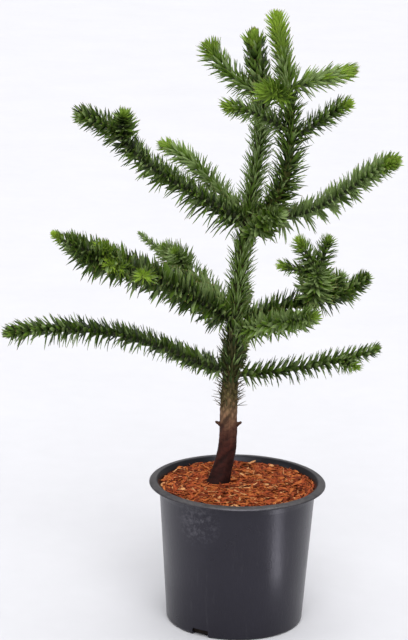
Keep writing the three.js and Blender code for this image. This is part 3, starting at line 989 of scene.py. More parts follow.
@dataclass(frozen=True)
class BarkRelief:
    """The relief of a limb's bark: rings and fibres low down, leaf scars above.

    Lengths are in millimetres, and the relief's heights run from about -1 to 1.
    """

    bare_until: float = 0.0
    depth: float = 0.75
    around: float = 14.0
    ring_share: float = 0.42
    ring_gap: float = 11.0
    ring_breadth: float = 0.012
    ring_wander: float = 6.5
    wander_wave: float = 30.0
    wander_slant: Pair = (0.35, -0.2)
    fibre_share: float = 0.22
    fibre_wave: float = 16.0
    fibre_squeeze: float = 3.0
    fibre_slant: float = 0.12
    lump_share: float = 0.5
    lump_wave: float = 22.0
    lump_slant: Pair = (0.5, 0.4)
    scar_step: float = 1.0
    scar_reach: float = 8.0
    scar_half: Pair = (7.5, 4.2)
    scar_jitter: Pair = (0.7, 1.3)
    scar_rise: float = 1.5
    scar_flat: float = 0.62
    scar_sink: float = 0.3
    scar_gap: float = -0.55
    change_height: float = 14.0
    change_wander: float = 5.0

    def heights(self, limb: "Limb", distance: Array, turns: Array, rng: Random) -> Array:
        """Works out the relief of a limb.

        Args:
            limb: The limb.
            distance: Distances along it, one for each ring.
            turns: Angles round it.
            rng: Source of the bark's unevenness.

        Returns:
            The heights, ring by ring.
        """
        height = limb.curve.spot(distance)[:, 2][:, None]
        x, y = np.cos(turns)[None, :] * self.around, np.sin(turns)[None, :] * self.around
        aside, back = self.wander_slant
        wander = ripple(x + height * aside, y + height * back, self.wander_wave, rng)
        phase = (height + self.ring_wander * wander) / self.ring_gap
        groove = np.exp(-(((phase % 1.0) - 0.5) ** 2) / self.ring_breadth)
        finer = self.fibre_squeeze
        fibre = ripple(x * finer, y * finer + height * self.fibre_slant, self.fibre_wave, rng)
        aside, back = self.lump_slant
        lumps = ripple(x + height * aside, y + height * back, self.lump_wave, rng)
        rings = self.fibre_share * fibre + self.lump_share * lumps - self.ring_share * groove
        scars = self._scars(limb, distance, turns, rng)
        above = height + self.change_wander * lumps - self.bare_until
        scarred = np.clip(above / self.change_height, 0.0, 1.0)
        return rings * (1.0 - scarred) + scars * scarred

    def _scars(self, limb: "Limb", distance: Array, turns: Array, rng: Random) -> Array:
        """Works out the cushions that fallen leaves left, in their spiral.

        Args:
            limb: The limb.
            distance: Distances along it, one for each ring.
            turns: Angles round it.
            rng: Source of the cushions' sizes.

        Returns:
            The heights, ring by ring.
        """
        scars = np.full((len(distance), len(turns)), self.scar_gap)
        radius = limb.radius(distance)[:, None]
        for index in range(int(limb.curve.length / self.scar_step)):
            grown = rng.uniform(*self.scar_jitter)
            rise = np.abs(distance - index * self.scar_step)[:, None]
            near = rise[:, 0] < self.scar_reach
            if not near.any():
                continue
            apart = (turns[None, :] - index * GOLDEN_ANGLE + math.pi) % FULL_TURN - math.pi
            aside = np.abs(apart) * radius[near]
            tall, wide = self.scar_half
            cushion = 1.0 - rise[near] / (tall * grown) - aside / (wide * grown)
            raised = self.scar_rise * np.clip(cushion, 0.0, self.scar_flat) - self.scar_sink
            scars[near] = np.maximum(scars[near], raised)
        return scars


@dataclass(frozen=True)
class CutStub:
    """The stub of a branch that was cut off: where it is, how it runs and its section."""

    height: float
    compass: float
    reach: float = 24.0
    pitch: float = 18.0
    lift: float = 2.0
    lift_power: int = 4
    radii: Pair = (5.0, 2.0)
    sides: int = 14
    unevenness: float = 0.07
    groove: float = -0.5
    cut_groove: float = -0.7
    cut_from: float = 0.96
    stations: tuple[float, ...] = (0.0, 0.4, 0.62, 0.7, 0.78, 0.86, 0.93, 0.97, 1.0, 0.985)
    swells: tuple[float, ...] = (1.6, 1.6, 1.55, 1.35, 1.15, 1.04, 1.02, 0.9, 0.7, 0.3)

    def add(self, surface: Surface, curve: GrowthLine, rng: Random) -> None:
        """Adds the stub to its limb.

        Args:
            surface: The limb's surface.
            curve: The limb's line.
            rng: Source of its unevenness.
        """
        heart = curve.spot(curve.at_height(self.height))[0]
        way = direction(self.compass, self.pitch)
        shares, swell = np.array(self.stations), np.array(self.swells)
        side = unit(np.cross(UPRIGHT, way))
        size = (len(shares), self.sides)
        wobble = 1.0 + self.unevenness * rng.standard_normal(size)
        radii = (blend(self.radii, shares) * swell)[:, None] * wobble
        rise = (shares**self.lift_power)[:, None] * (0.0, 0.0, self.lift)
        relief = np.where(shares > self.cut_from, self.cut_groove, self.groove)
        tube(
            surface,
            heart + shares[:, None] * way * self.reach + rise,
            np.repeat(side[None, :], len(shares), axis=0),
            np.repeat(np.cross(way, side)[None, :], len(shares), axis=0),
            radii,
            np.repeat(relief[:, None], self.sides, axis=1),
        )


@dataclass
class Limb:
    """An upright limb: its line, its radii and its bark."""

    RELIEF = "relief"
    SHARP = 70.0
    END_GAP = 0.5

    name: LimbName
    line: tuple[Place, ...]
    radii: tuple[float, ...]
    sides: int
    foot: float
    fine_until: float
    bark: BarkFinish
    slot: str
    fine_step: float = 1.3
    coarse_step: float = 3.2
    flare: float = 0.0
    flare_height: float = 18.0
    ground: float = 243.0
    relief: BarkRelief = BarkRelief()
    stubs: tuple[CutStub, ...] = ()

    def __post_init__(self) -> None:
        """Fits the limb's line."""
        self.curve = GrowthLine(np.array(self.line))

    def radius(self, distance: Array) -> Array:
        """Gives the limb's plain radius.

        Args:
            distance: Distances along it.

        Returns:
            The radii there.
        """
        plain = blend(self.radii, self.curve.share(distance))
        height = self.curve.spot(distance)[:, 2]
        return plain + self.flare * np.exp(-(height - self.ground) / self.flare_height)

    def build(self) -> Piece:
        """Makes the limb's mesh with its relief and its stubs.

        Returns:
            The dressed piece.
        """
        rng = np.random.default_rng(SEED + len(self.line))
        start = float(self.curve.at_height(self.foot))
        middle = float(self.curve.at_height(self.fine_until))
        end = self.curve.length
        fine = np.arange(start, middle, self.fine_step)
        coarse = np.arange(middle, end - self.END_GAP, self.coarse_step)
        distance = np.concatenate((fine, coarse, [end]))
        relief = self.relief.heights(self, distance, round_turns(self.sides), rng)
        radii = self.radius(distance)[:, None] + self.relief.depth * relief
        _, side, up = self.curve.frames(distance)
        surface = Surface()
        tube(surface, self.curve.spot(distance), side, up, radii, relief)
        for stub in self.stubs:
            stub.add(surface, self.curve, rng)
        piece = surface.build(f"{self.name.value}_bark", self.SHARP, self.RELIEF)
        return dress(piece, [self.bark.material()], self.slot, [self.name.value])


@dataclass
class LeafBatch:
    """Leaves that share a rule: where each is rooted, how it lies and its size."""

    root: Array
    way: Array
    across: Array
    face: Array
    length: Array
    width: Array
    bend: Array
    tints: Array

    def keep(self, chosen: Array) -> "LeafBatch":
        """Gives the chosen leaves alone."""
        return LeafBatch(*(getattr(self, part.name)[chosen] for part in fields(self)))

    @classmethod
    def joined(cls, batches: list["LeafBatch"]) -> "LeafBatch":
        """Joins batches into one."""
        names = [part.name for part in fields(cls)]
        return cls(*(np.concatenate([getattr(one, name) for one in batches]) for name in names))

    def middles(self, share: float) -> Array:
        """Gives the points at a share of the leaves' lengths."""
        return self.root + self.way * (self.length * share)[:, None]


@dataclass
class LeafBlade:
    """The closed mesh of one stiff, keeled leaf with a sharp point."""

    MAP = "blade"
    BAKE_MAP = "OFBake"
    SHARP = 48.0

    stations: tuple[float, ...] = (0.0, 0.18, 0.48, 0.76, 0.93)
    widths: tuple[float, ...] = (0.82, 1.0, 0.86, 0.47, 0.14)
    depths: tuple[float, ...] = (1.0, 1.0, 0.9, 0.7, 0.4)
    section: tuple[Pair, ...] = ((-1.0, 0.0), (0.0, 0.3), (1.0, 0.0), (0.0, -0.75))
    thickness: float = 1.6
    thickness_at: float = 27.0
    inset: float = 0.04

    def template(self) -> tuple[Array, Array, Array, Array, Array]:
        """Works out the leaf's unit points and its faces.

        Returns:
            Unit points (across, along, out), side faces, foot faces, tip faces, and the
            place of each point on the leaf's map.
        """
        across, out = np.array(self.section).T
        rows, places = [], []
        for station, width, depth in zip(self.stations, self.widths, self.depths, strict=True):
            along = np.full(len(across), station)
            rows.append(np.column_stack((across * width, along, out * depth)))
            places.append(np.column_stack((0.5 + across * 0.5, along)))
        points = np.concatenate([*rows, [[0.0, 1.0, 0.0]]])
        places = np.concatenate([*places, [[0.5, 1.0]]])
        count, rings = len(across), len(self.stations)
        here = np.arange(count)
        last = (rings - 1) * count
        tip = np.full(count, rings * count)
        tips = np.stack((last + (here + 1) % count, last + here, tip), axis=1)
        feet = np.stack((np.zeros(count - 2, int), here[1:-1], here[2:]), axis=1)
        return points, ring_walls(rings, count, inward=True), feet, tips, places

    def build(self, name: str, batch: LeafBatch) -> Piece:
        """Joins a batch of leaves into one piece with its maps.

        Args:
            name: The piece's name.
            batch: The leaves.

        Returns:
            The object, with slot 0 for the blades and slot 1 for their points.
        """
        points, *faces, places = self.template()
        half, length = batch.width[:, None] / 2.0, batch.length[:, None]
        along = points[None, :, 1] * length
        curl = batch.bend[:, None] * length * points[None, :, 1] ** 2
        out = points[None, :, 2] * self.thickness * (length / self.thickness_at) + curl
        spots = (
            batch.root[:, None, :]
            + batch.way[:, None, :] * along[:, :, None]
            + batch.across[:, None, :] * (points[None, :, 0] * half)[:, :, None]
            + batch.face[:, None, :] * out[:, :, None]
        )
        count = len(batch.root)
        shift = (np.arange(count) * len(points))[:, None, None]
        repeated = [(part[None] + shift).reshape(-1, part.shape[1]) for part in faces]
        surface = Surface()
        surface.add(spots.reshape(-1, 3), repeated, [0, 0, 1])
        piece = surface.build(name, self.SHARP)
        corners = np.empty(len(piece.data.loops), np.int32)
        piece.data.loops.foreach_get("vertex_index", corners)
        mapped = np.tile(places, (count, 1))[corners]
        mapped = self.inset + mapped * (1.0 - 2.0 * self.inset)
        for label in (self.MAP, self.BAKE_MAP):
            layer = piece.data.uv_layers.new(name=label)
            layer.uv.foreach_set("vector", mapped.astype(np.float32).ravel())
        return piece


@dataclass(frozen=True)
class Coat:
    """How leaves of each age are coloured along a stem."""

    main: Tint
    other: Tint
    other_share: float = 0.35
    fresh: float = 24.0
    lime: float = 0.0
    # The share of leaves given the pale moss tint at random, as painted highlights among them.
    pale: float = 0.12
    age_jitter: Pair = (0.72, 1.3)

    def deal(self, from_tip: Array, rng: Random) -> Array:
        """Deals a tint to each leaf.

        Args:
            from_tip: Each leaf's distance from its stem's tip.
            rng: Source of the dealing.

        Returns:
            The tints, one for each leaf.
        """
        count = len(from_tip)
        aged = from_tip * rng.uniform(*self.age_jitter, count)
        picks = np.where(rng.random(count) < self.other_share, 1, 0)
        tints = np.array([self.main, self.other], object)[picks]
        # Painted highlight: a random share of leaves takes the pale moss tint.
        tints[rng.random(count) < self.pale] = MOSS
        tints[aged < self.fresh] = FRESH
        tints[aged < self.lime] = LIME
        return tints


@dataclass(frozen=True)
class Habit:
    """How the leaves of a stem grow.

    Attributes:
        breadth: How broad they are, as a share of usual ones.
        grown: Their full size, as a share of the usual one.
        zone: How far from the tip they reach it, or 0 for the rule's own reach.
        hang: How much longer the lower leaves near the root are.
        slant: How far the leaves near the tip lean out, as a share of the usual lean.
        claw: How much wider apart the lower layers are than the upper ones.
        tuck: How much shorter the lower leaves near the tip are.
    """

    breadth: float = 1.0
    grown: float = 1.0
    zone: float = 0.0
    hang: float = 0.16
    slant: float = 1.0
    claw: float = 1.0
    tuck: float = 0.26


@dataclass(frozen=True)
class Shoot:
    """A side shoot on a branch or on another shoot."""

    at: float
    compass: float
    pitch: float
    length: float
    coat: Coat
    habit: Habit = Habit(0.62)
    shoots: tuple["Shoot", ...] = ()


@dataclass(frozen=True)
class Branch:
    """A branch: where it leaves its limb, how it runs and how it is coloured."""

    name: str
    whorl: Whorl
    limb: LimbName
    height: float
    compass: float
    length: float
    pitches: tuple[float, ...]
    tip_leaf: float
    coat: Coat
    habit: Habit = Habit()
    shoots: tuple[Shoot, ...] = ()


@dataclass(frozen=True)
class Sleeve:
    """Leaves that clothe an upright limb between two heights."""

    name: str
    limb: LimbName
    low: float
    high: float
    leaf: float
    lean: float
    coat: Coat
    thin: float = 0.0
    tip: bool = False
    breadth: float = 0.5
    bend: float = -0.02
    spread: float = 40.0
    step: float = 0.4


@dataclass
class Stem:
    """One stem that carries leaves."""

    TIP_RADIUS = 1.9

    curve: GrowthLine
    bare: float
    root_radius: float
    tip_leaf: float
    coat: Coat
    habit: Habit

    def radius(self, distance: Array) -> Array:
        """Gives the stem's radius at distances along it."""
        share = distance / self.curve.length
        return self.root_radius + (self.TIP_RADIUS - self.root_radius) * share


@dataclass
class LeafRows:
    """What is settled for each leaf before it is laid.

    Attributes:
        distance: How far along the line it sits.
        turns: Its angle round the line, in radians.
        rooted: How far out from the line it starts.
        lean: Its angle from the line, in degrees.
        size: Its size, as a share of a grown leaf's.
        bend: How far it curls up, as a share of its length.
        tints: Its tint.
    """

    distance: Array
    turns: Array
    rooted: Array
    lean: Array
    size: Array
    bend: Array
    tints: Array


@dataclass
class LeafRule:
    """The spiral rule that sets leaves on stems and limbs. Lengths are in millimetres."""

    length: float = 29.0
    width: float = 7.2
    width_power: float = 0.9
    step: float = 0.42
    lean_at: tuple[float, ...] = (0.0, 2.5, 7.0, 16.0, 60.0, 180.0, 320.0)
    leans: tuple[float, ...] = (14.0, 38.0, 57.0, 63.0, 59.0, 57.0, 58.0)
    slant_power: float = 1.5
    layer: float = 11.0
    gather: float = 0.78
    turn_jitter: float = 0.09
    lean_jitter: float = 13.0
    size_jitter: float = 0.24
    bend_jitter: Pair = (0.3, 1.5)
    twist: float = 28.0
    droop: float = 0.2
    hang_age: float = 300.0
    hang_from: float = 0.45
    below_from: float = 0.5
    above_from: float = 0.55
    fade: float = 0.35
    above_shrink: float = 0.12
    below_narrow: float = 0.18
    thin_below: float = 0.74
    thin_above: float = 0.4
    tip_zone: float = 70.0
    tip_margin: float = 1.1
    zone_power: float = 1.7
    dense_reach: float = 26.0
    dense_step: float = 0.28
    bud_leaves: int = 36
    bud_reach: float = 7.0
    bud_leaf: float = 0.48
    close: float = 9.0
    close_reach: float = 10.0
    close_shrink: float = 0.34
    close_power: float = 0.8
    stem_rooted: float = 0.7
    limb_rooted: float = 0.94
    young_bend: float = 0.24
    old_bend: float = -0.18
    bend_age: float = 100.0

    def lay(
        self, line: GrowthLine, rows: LeafRows, spread: float, habit: Habit, rng: Random
    ) -> LeafBatch:
        """Lays leaves round a line.

        Args:
            line: The stem's or limb's line.
            rows: What is settled for each leaf.
            spread: How far the angles from the line differ, in degrees.
            habit: How the leaves grow.
            rng: Source of the unevenness.

        Returns:
            The leaves.
        """
        count = len(rows.distance)
        turns = rows.turns + rng.normal(0.0, self.turn_jitter, count)
        _, side, up = line.frames(rows.distance)
        hanging = side[:, 2] * np.cos(turns) + up[:, 2] * np.sin(turns) < -self.hang_from
        layer = self.layer * np.where(hanging, habit.claw, 1.0)
        left = line.length - rows.distance
        gather = self.gather * np.clip(left / layer - 1.0, 0.0, 1.0)
        gathered = np.round(rows.distance / layer) * layer
        distance = rows.distance + (gathered - rows.distance) * gather
        along, side, up = line.frames(distance)
        out = side * np.cos(turns)[:, None] + up * np.sin(turns)[:, None]
        lower = -out[:, 2]
        lean = rows.lean * (1.0 + self.droop * lower)
        tilt = np.radians(lean + rng.uniform(-0.5, 0.5, count) * spread)
        size = rows.size * (1.0 + rng.uniform(-0.5, 0.5, count) * self.size_jitter)
        way = along * np.cos(tilt)[:, None] + out * np.sin(tilt)[:, None]
        across = np.cross(along, out)
        face = np.cross(way, across)
        twist = np.radians(rng.uniform(-self.twist, self.twist, count))[:, None]
        age = np.clip((line.length - distance) / self.hang_age, 0.0, 1.0)
        below = np.clip((lower - self.below_from) / self.fade, 0.0, 1.0)
        above = np.clip((-lower - self.above_from) / self.fade, 0.0, 1.0)
        hung = below * (habit.hang * age**2 - habit.tuck * (1.0 - age) ** 2)
        reach = 1.0 + np.where(lower > 0.0, hung, self.above_shrink * lower * age)
        narrowed = 1.0 - self.below_narrow * below
        leaves = LeafBatch(
            root=line.spot(distance) + out * rows.rooted[:, None],
            way=way,
            across=across * np.cos(twist) + face * np.sin(twist),
            face=face * np.cos(twist) - across * np.sin(twist),
            length=self.length * size * reach,
            width=self.width * habit.breadth * size**self.width_power * narrowed,
            bend=rows.bend * rng.uniform(*self.bend_jitter, count),
            tints=rows.tints,
        )
        gone = self.thin_below * below + self.thin_above * above
        return leaves.keep(rng.random(count) >= gone)

    def bud(self, end: float) -> Array:
        """Gives the distances of the leaves that close a tip."""
        return end - self.bud_reach * np.linspace(1.0, 0.0, self.bud_leaves)

    def on_stem(self, stem: Stem, rng: Random) -> LeafBatch:
        """Sets leaves along a stem and closes them round its tip.

        Args:
            stem: The stem.
            rng: Source of the unevenness.

        Returns:
            The leaves.
        """
        habit, end = stem.habit, stem.curve.length
        near = end - self.dense_reach
        body = np.arange(stem.bare, near, self.step)
        dense = np.arange(near, end - self.bud_reach, self.dense_step)
        distance = np.concatenate((body, dense, self.bud(end)))
        left = end - distance
        slant = habit.slant + (1.0 - habit.slant) * (left / end) ** self.slant_power
        zone = habit.zone or self.tip_zone * (self.tip_margin - stem.tip_leaf)
        # Where the zone is nil, the leaf at the very tip gets no size and is left out later.
        with np.errstate(divide="ignore", invalid="ignore"):
            opened = np.clip(left / zone, 0.0, 1.0)
        opening = opened ** (self.zone_power if habit.zone else 1.0)
        size = stem.tip_leaf + (habit.grown - stem.tip_leaf) * opening
        closing = np.clip(left / self.bud_reach, 0.0, 1.0)
        age = np.clip(left / self.bend_age, 0.0, 1.0)
        rows = LeafRows(
            distance=distance,
            turns=np.arange(len(distance)) * GOLDEN_ANGLE,
            rooted=stem.radius(distance) * self.stem_rooted * closing,
            lean=slant * np.interp(left, self.lean_at, self.leans),
            size=size * (self.bud_leaf + (1.0 - self.bud_leaf) * closing),
            bend=self.young_bend + (self.old_bend - self.young_bend) * age,
            tints=stem.coat.deal(left, rng),
        )
        return self.lay(stem.curve, rows, self.lean_jitter, habit, rng)

    def on_limb(self, sleeve: Sleeve, limb: Limb, rng: Random) -> LeafBatch:
        """Sets leaves round an upright limb between two heights.

        Args:
            sleeve: The stretch of limb.
            limb: The limb.
            rng: Source of the unevenness.

        Returns:
            The leaves.
        """
        end = limb.curve.length
        low = float(limb.curve.at_height(sleeve.low))
        high = end if sleeve.tip else float(limb.curve.at_height(sleeve.high))
        first = math.ceil(low / sleeve.step)
        distance = np.arange(first, int(high / sleeve.step)) * sleeve.step
        closing = np.zeros(len(distance))
        if sleeve.tip:
            distance = np.concatenate((distance, self.bud(end)))
            closing = 1.0 - np.clip((end - distance) / self.close_reach, 0.0, 1.0)
        count = len(distance)
        rng.random(count)  # One draw for each leaf is passed over.
        rows = LeafRows(
            distance=distance,
            turns=np.arange(first, first + count) * GOLDEN_ANGLE,
            rooted=limb.radius(distance) * (1.0 - closing) * self.limb_rooted,
            lean=sleeve.lean + (self.close - sleeve.lean) * closing,
            size=sleeve.leaf * (1.0 - self.close_shrink * closing**self.close_power),
            bend=np.full(count, sleeve.bend),
            tints=sleeve.coat.deal(end - distance, rng),
        )
        habit = Habit(sleeve.breadth, hang=0.0, tuck=0.0)
        leaves = self.lay(limb.curve, rows, sleeve.spread, habit, rng)
        return leaves.keep(rng.random(len(leaves.root)) >= sleeve.thin)


BRANCHES: tuple[Branch, ...] = (
    Branch(
        "bottom_left_branch", BOTTOM, TRUNK, 439, 199, 410, (20, 25, 17, 4, -6), 0.6,
        Coat(DEEP, GREEN, 0.4, 0, pale=0.25), Habit(grown=1.05, hang=-0.3, tuck=-0.2),
    ),
    Branch(
        "bottom_right_branch", BOTTOM, TRUNK, 433, 355, 256, (8, 8, 13, 16, 24), 0.68,
        Coat(DEEP, GREEN, 0.5, 0, pale=0.25), Habit(zone=70, hang=-0.05),
        (Shoot(0.72, 318, -4, 44, Coat(GREEN, MOSS, 0.4, 12)),),
    ),
    Branch(
        "bottom_back_branch", BOTTOM, TRUNK, 444, 86, 225, (8, 3, -2, -6, -9), 0.6,
        Coat(DEEP, GREEN, 0.4, 12, pale=0.2), Habit(grown=0.82),
    ),
    Branch(
        "middle_left_branch", MIDDLE, TRUNK, 528, 203, 372, (35, 31, 23, 23, 36), 0.4,
        Coat(DEEP, GREEN, 0.45, 20, 8, 0.3), Habit(1.25, 1.45, 80, hang=-0.1, tuck=-0.1),
        (
            Shoot(0.5, 262, 12, 60, Coat(MOSS, FRESH, 0.4, 26, 15), Habit(0.4, 0.9)),
            Shoot(0.61, 236, 14, 54, Coat(MOSS, FRESH, 0.5, 32, 16), Habit(0.5, 1.12)),
            Shoot(
                0.63, 190, 44, 44, Coat(MOSS, FRESH, 0.4, 22),
                shoots=(Shoot(0.5, 230, 36, 44, Coat(MOSS, FRESH, 0.5, 30, 6)),),
            ),
            Shoot(0.72, 214, 4, 46, Coat(DEEP, GREEN, 0.4, 0)),
            Shoot(0.83, 178, 44, 36, Coat(GREEN, DEEP, 0.4, 0)),
        ),
    ),
    Branch(
        "middle_back_left_branch", MIDDLE, TRUNK, 545, 150, 228, (24, 34, 34, 25, 33), 0.3,
        Coat(MOSS, GREEN, 0.08, 0), Habit(1.0, 1.2, 104),
        (
            Shoot(0.51, 232, 50, 50, Coat(MOSS, GREEN, 0.25, 6), Habit(0.62, 1.25)),
            Shoot(0.57, 180, 48, 44, Coat(MOSS, GREEN, 0.25, 6), Habit(0.62, 1.25)),
        ),
    ),
    Branch(
        "middle_back_branch", MIDDLE, TRUNK, 540, 86, 195, (10, 4, 0, -3, -6), 0.6,
        Coat(GREEN, DEEP, 0.45, 16, 6), Habit(grown=0.82),
    ),
    Branch(
        "middle_right_branch", MIDDLE, TRUNK, 520, 352, 249, (26, 26, 14, 18, 56), 0.45,
        Coat(DEEP, GREEN, 0.4, 0, pale=0.2), Habit(1.15, 1.18, hang=0.5),
        (
            Shoot(
                0.57, 278, 54, 80, Coat(MOSS, GREEN, 0.3, 0), Habit(0.7, 1.45),
                (
                    Shoot(0.98, 350, 74, 58, Coat(GREEN, DEEP, 0.3, 8), Habit(0.62, 0.84)),
                    Shoot(0.92, 188, 58, 66, Coat(GREEN, MOSS, 0.3, 18, 6), Habit(0.62, 0.86)),
                    Shoot(0.86, 188, 13, 66, Coat(GREEN, DEEP, 0.4, 14, 6), Habit(0.62, 0.8)),
                ),
            ),
            Shoot(0.68, 350, 60, 46, Coat(MOSS, GREEN, 0.4, 0), Habit(0.62, 1.2)),
        ),
    ),
    Branch(
        "middle_front_right_branch", MIDDLE, TRUNK, 511, 315, 192, (19, 18, 18, 19, 20), 0.62,
        Coat(MOSS, GREEN, 0.45, 8, pale=0.0), Habit(0.8, 1.16, hang=0.24),
    ),
    Branch(
        "upper_left_branch", UPPER, TRUNK, 703, 201, 356, (31, 29, 33, 48, 12), 0.74,
        Coat(DEEP, GREEN, 0.5, 0, pale=0.25), Habit(1.05, 1.05, hang=0.5, claw=1.4),
        (Shoot(0.755, 275, 66, 50, Coat(GREEN, DEEP, 0.5, 7), Habit(0.8, 1.12)),),
    ),
    Branch(
        "upper_back_left_branch", UPPER, TRUNK, 718, 150, 200, (20, 39, 39, 26, 17), 0.55,
        Coat(MOSS, GREEN, 0.3, 26), Habit(0.85, 0.92),
    ),
    Branch(
        "upper_back_branch", UPPER, TRUNK, 698, 85, 188, (8, 2, -3, -6, -8), 0.6,
        Coat(GREEN, DEEP, 0.4, 18, 6), Habit(grown=0.82),
    ),
    Branch(
        "upper_right_branch", UPPER, TRUNK, 691, 340, 295, (38, 9, 31, 41, 24), 0.66,
        Coat(MOSS, GREEN, 0.08, 30, pale=0.2), Habit(1.25, 1.04, hang=0.7, claw=2.0),
    ),
    Branch(
        "upper_front_branch", UPPER, TRUNK, 679, 310, 100, (34, 33, 32, 30, 28), 0.62,
        Coat(GREEN, MOSS, 0.45, 0), Habit(1.25, 1.12, claw=2.0),
    ),
    Branch(
        "leader_left_branch", CROWN, TRUNK, 919, 160, 124, (20, 32, 36, 48, 62), 0.78,
        Coat(GREEN, MOSS, 0.3, 24), Habit(0.75),
    ),
    Branch(
        "second_leader_right_branch", CROWN, SECOND, 862, 350, 110, (8, 35, 38, 34, 26), 0.7,
        Coat(GREEN, DEEP, 0.4, 16, 5), Habit(0.8, 0.92),
    ),
    Branch(
        "second_leader_left_branch", CROWN, SECOND, 868, 195, 118, (30, 28, 24, 15, 5), 0.78,
        Coat(GREEN, MOSS, 0.3, 16), Habit(0.8, 0.95),
    ),
    Branch(
        "second_leader_top_right_branch", CROWN, SECOND, 938, 350, 103, (26, 20, 17, 15, 15), 0.84,
        Coat(MOSS, FRESH, 0.2, 26), Habit(0.72, 1.2, hang=-0.1, slant=0.58),
    ),
    Branch(
        "second_leader_front_branch", CROWN, SECOND, 922, 236, 62, (16, 18, 18, 18, 18), 1.1,
        Coat(GREEN, FRESH, 0.3, 13, 0, 0.1), Habit(0.62, 1.3, slant=0.8),
    ),
)

SLEEVES: tuple[Sleeve, ...] = (
    Sleeve(
        "trunk_old_leaves", TRUNK, 376, 444, 0.62, 50, Coat(STRAW, OLIVE, 0.7, 0, pale=0.0),
        thin=0.2, spread=70, step=0.42,
    ),
    Sleeve("trunk_lower_leaves", TRUNK, 416, 508, 0.8, 32, Coat(OLIVE, DEEP, 0.6, 0)),
    Sleeve(
        "trunk_middle_leaves", TRUNK, 508, 676, 0.86, 36, Coat(GREEN, MOSS, 0.35, 0, pale=0.15)
    ),
    Sleeve("trunk_middle_leaves", TRUNK, 676, 706, 0.6, 40, Coat(STRAW, OLIVE, 0.4, 0), 0.6),
    Sleeve("trunk_upper_leaves", TRUNK, 706, 920, 0.9, 38, Coat(GREEN, MOSS, 0.4, 0, pale=0.3)),
    Sleeve(
        "trunk_tip_leaves", TRUNK, 920, 1030, 0.94, 57, Coat(DEEP, GREEN, 0.55, 17, 3, 0.2),
        tip=True, bend=0.36, breadth=1.25, spread=8, step=0.52,
    ),
    Sleeve(
        "second_leader_lower_leaves", SECOND, 714, 868, 1.12, 50,
        Coat(DEEP, GREEN, 0.5, 0, pale=0.2),
    ),
    Sleeve(
        "second_leader_middle_leaves", SECOND, 868, 930, 0.96, 46,
        Coat(GREEN, DEEP, 0.4, 0, pale=0.2),
    ),
    Sleeve(
        "second_leader_tip_leaves", SECOND, 930, 1066, 1.0, 36, Coat(MOSS, GREEN, 0.4, 64, 30),
        tip=True, bend=-0.04, breadth=0.7, spread=10, step=0.36,
    ),
)


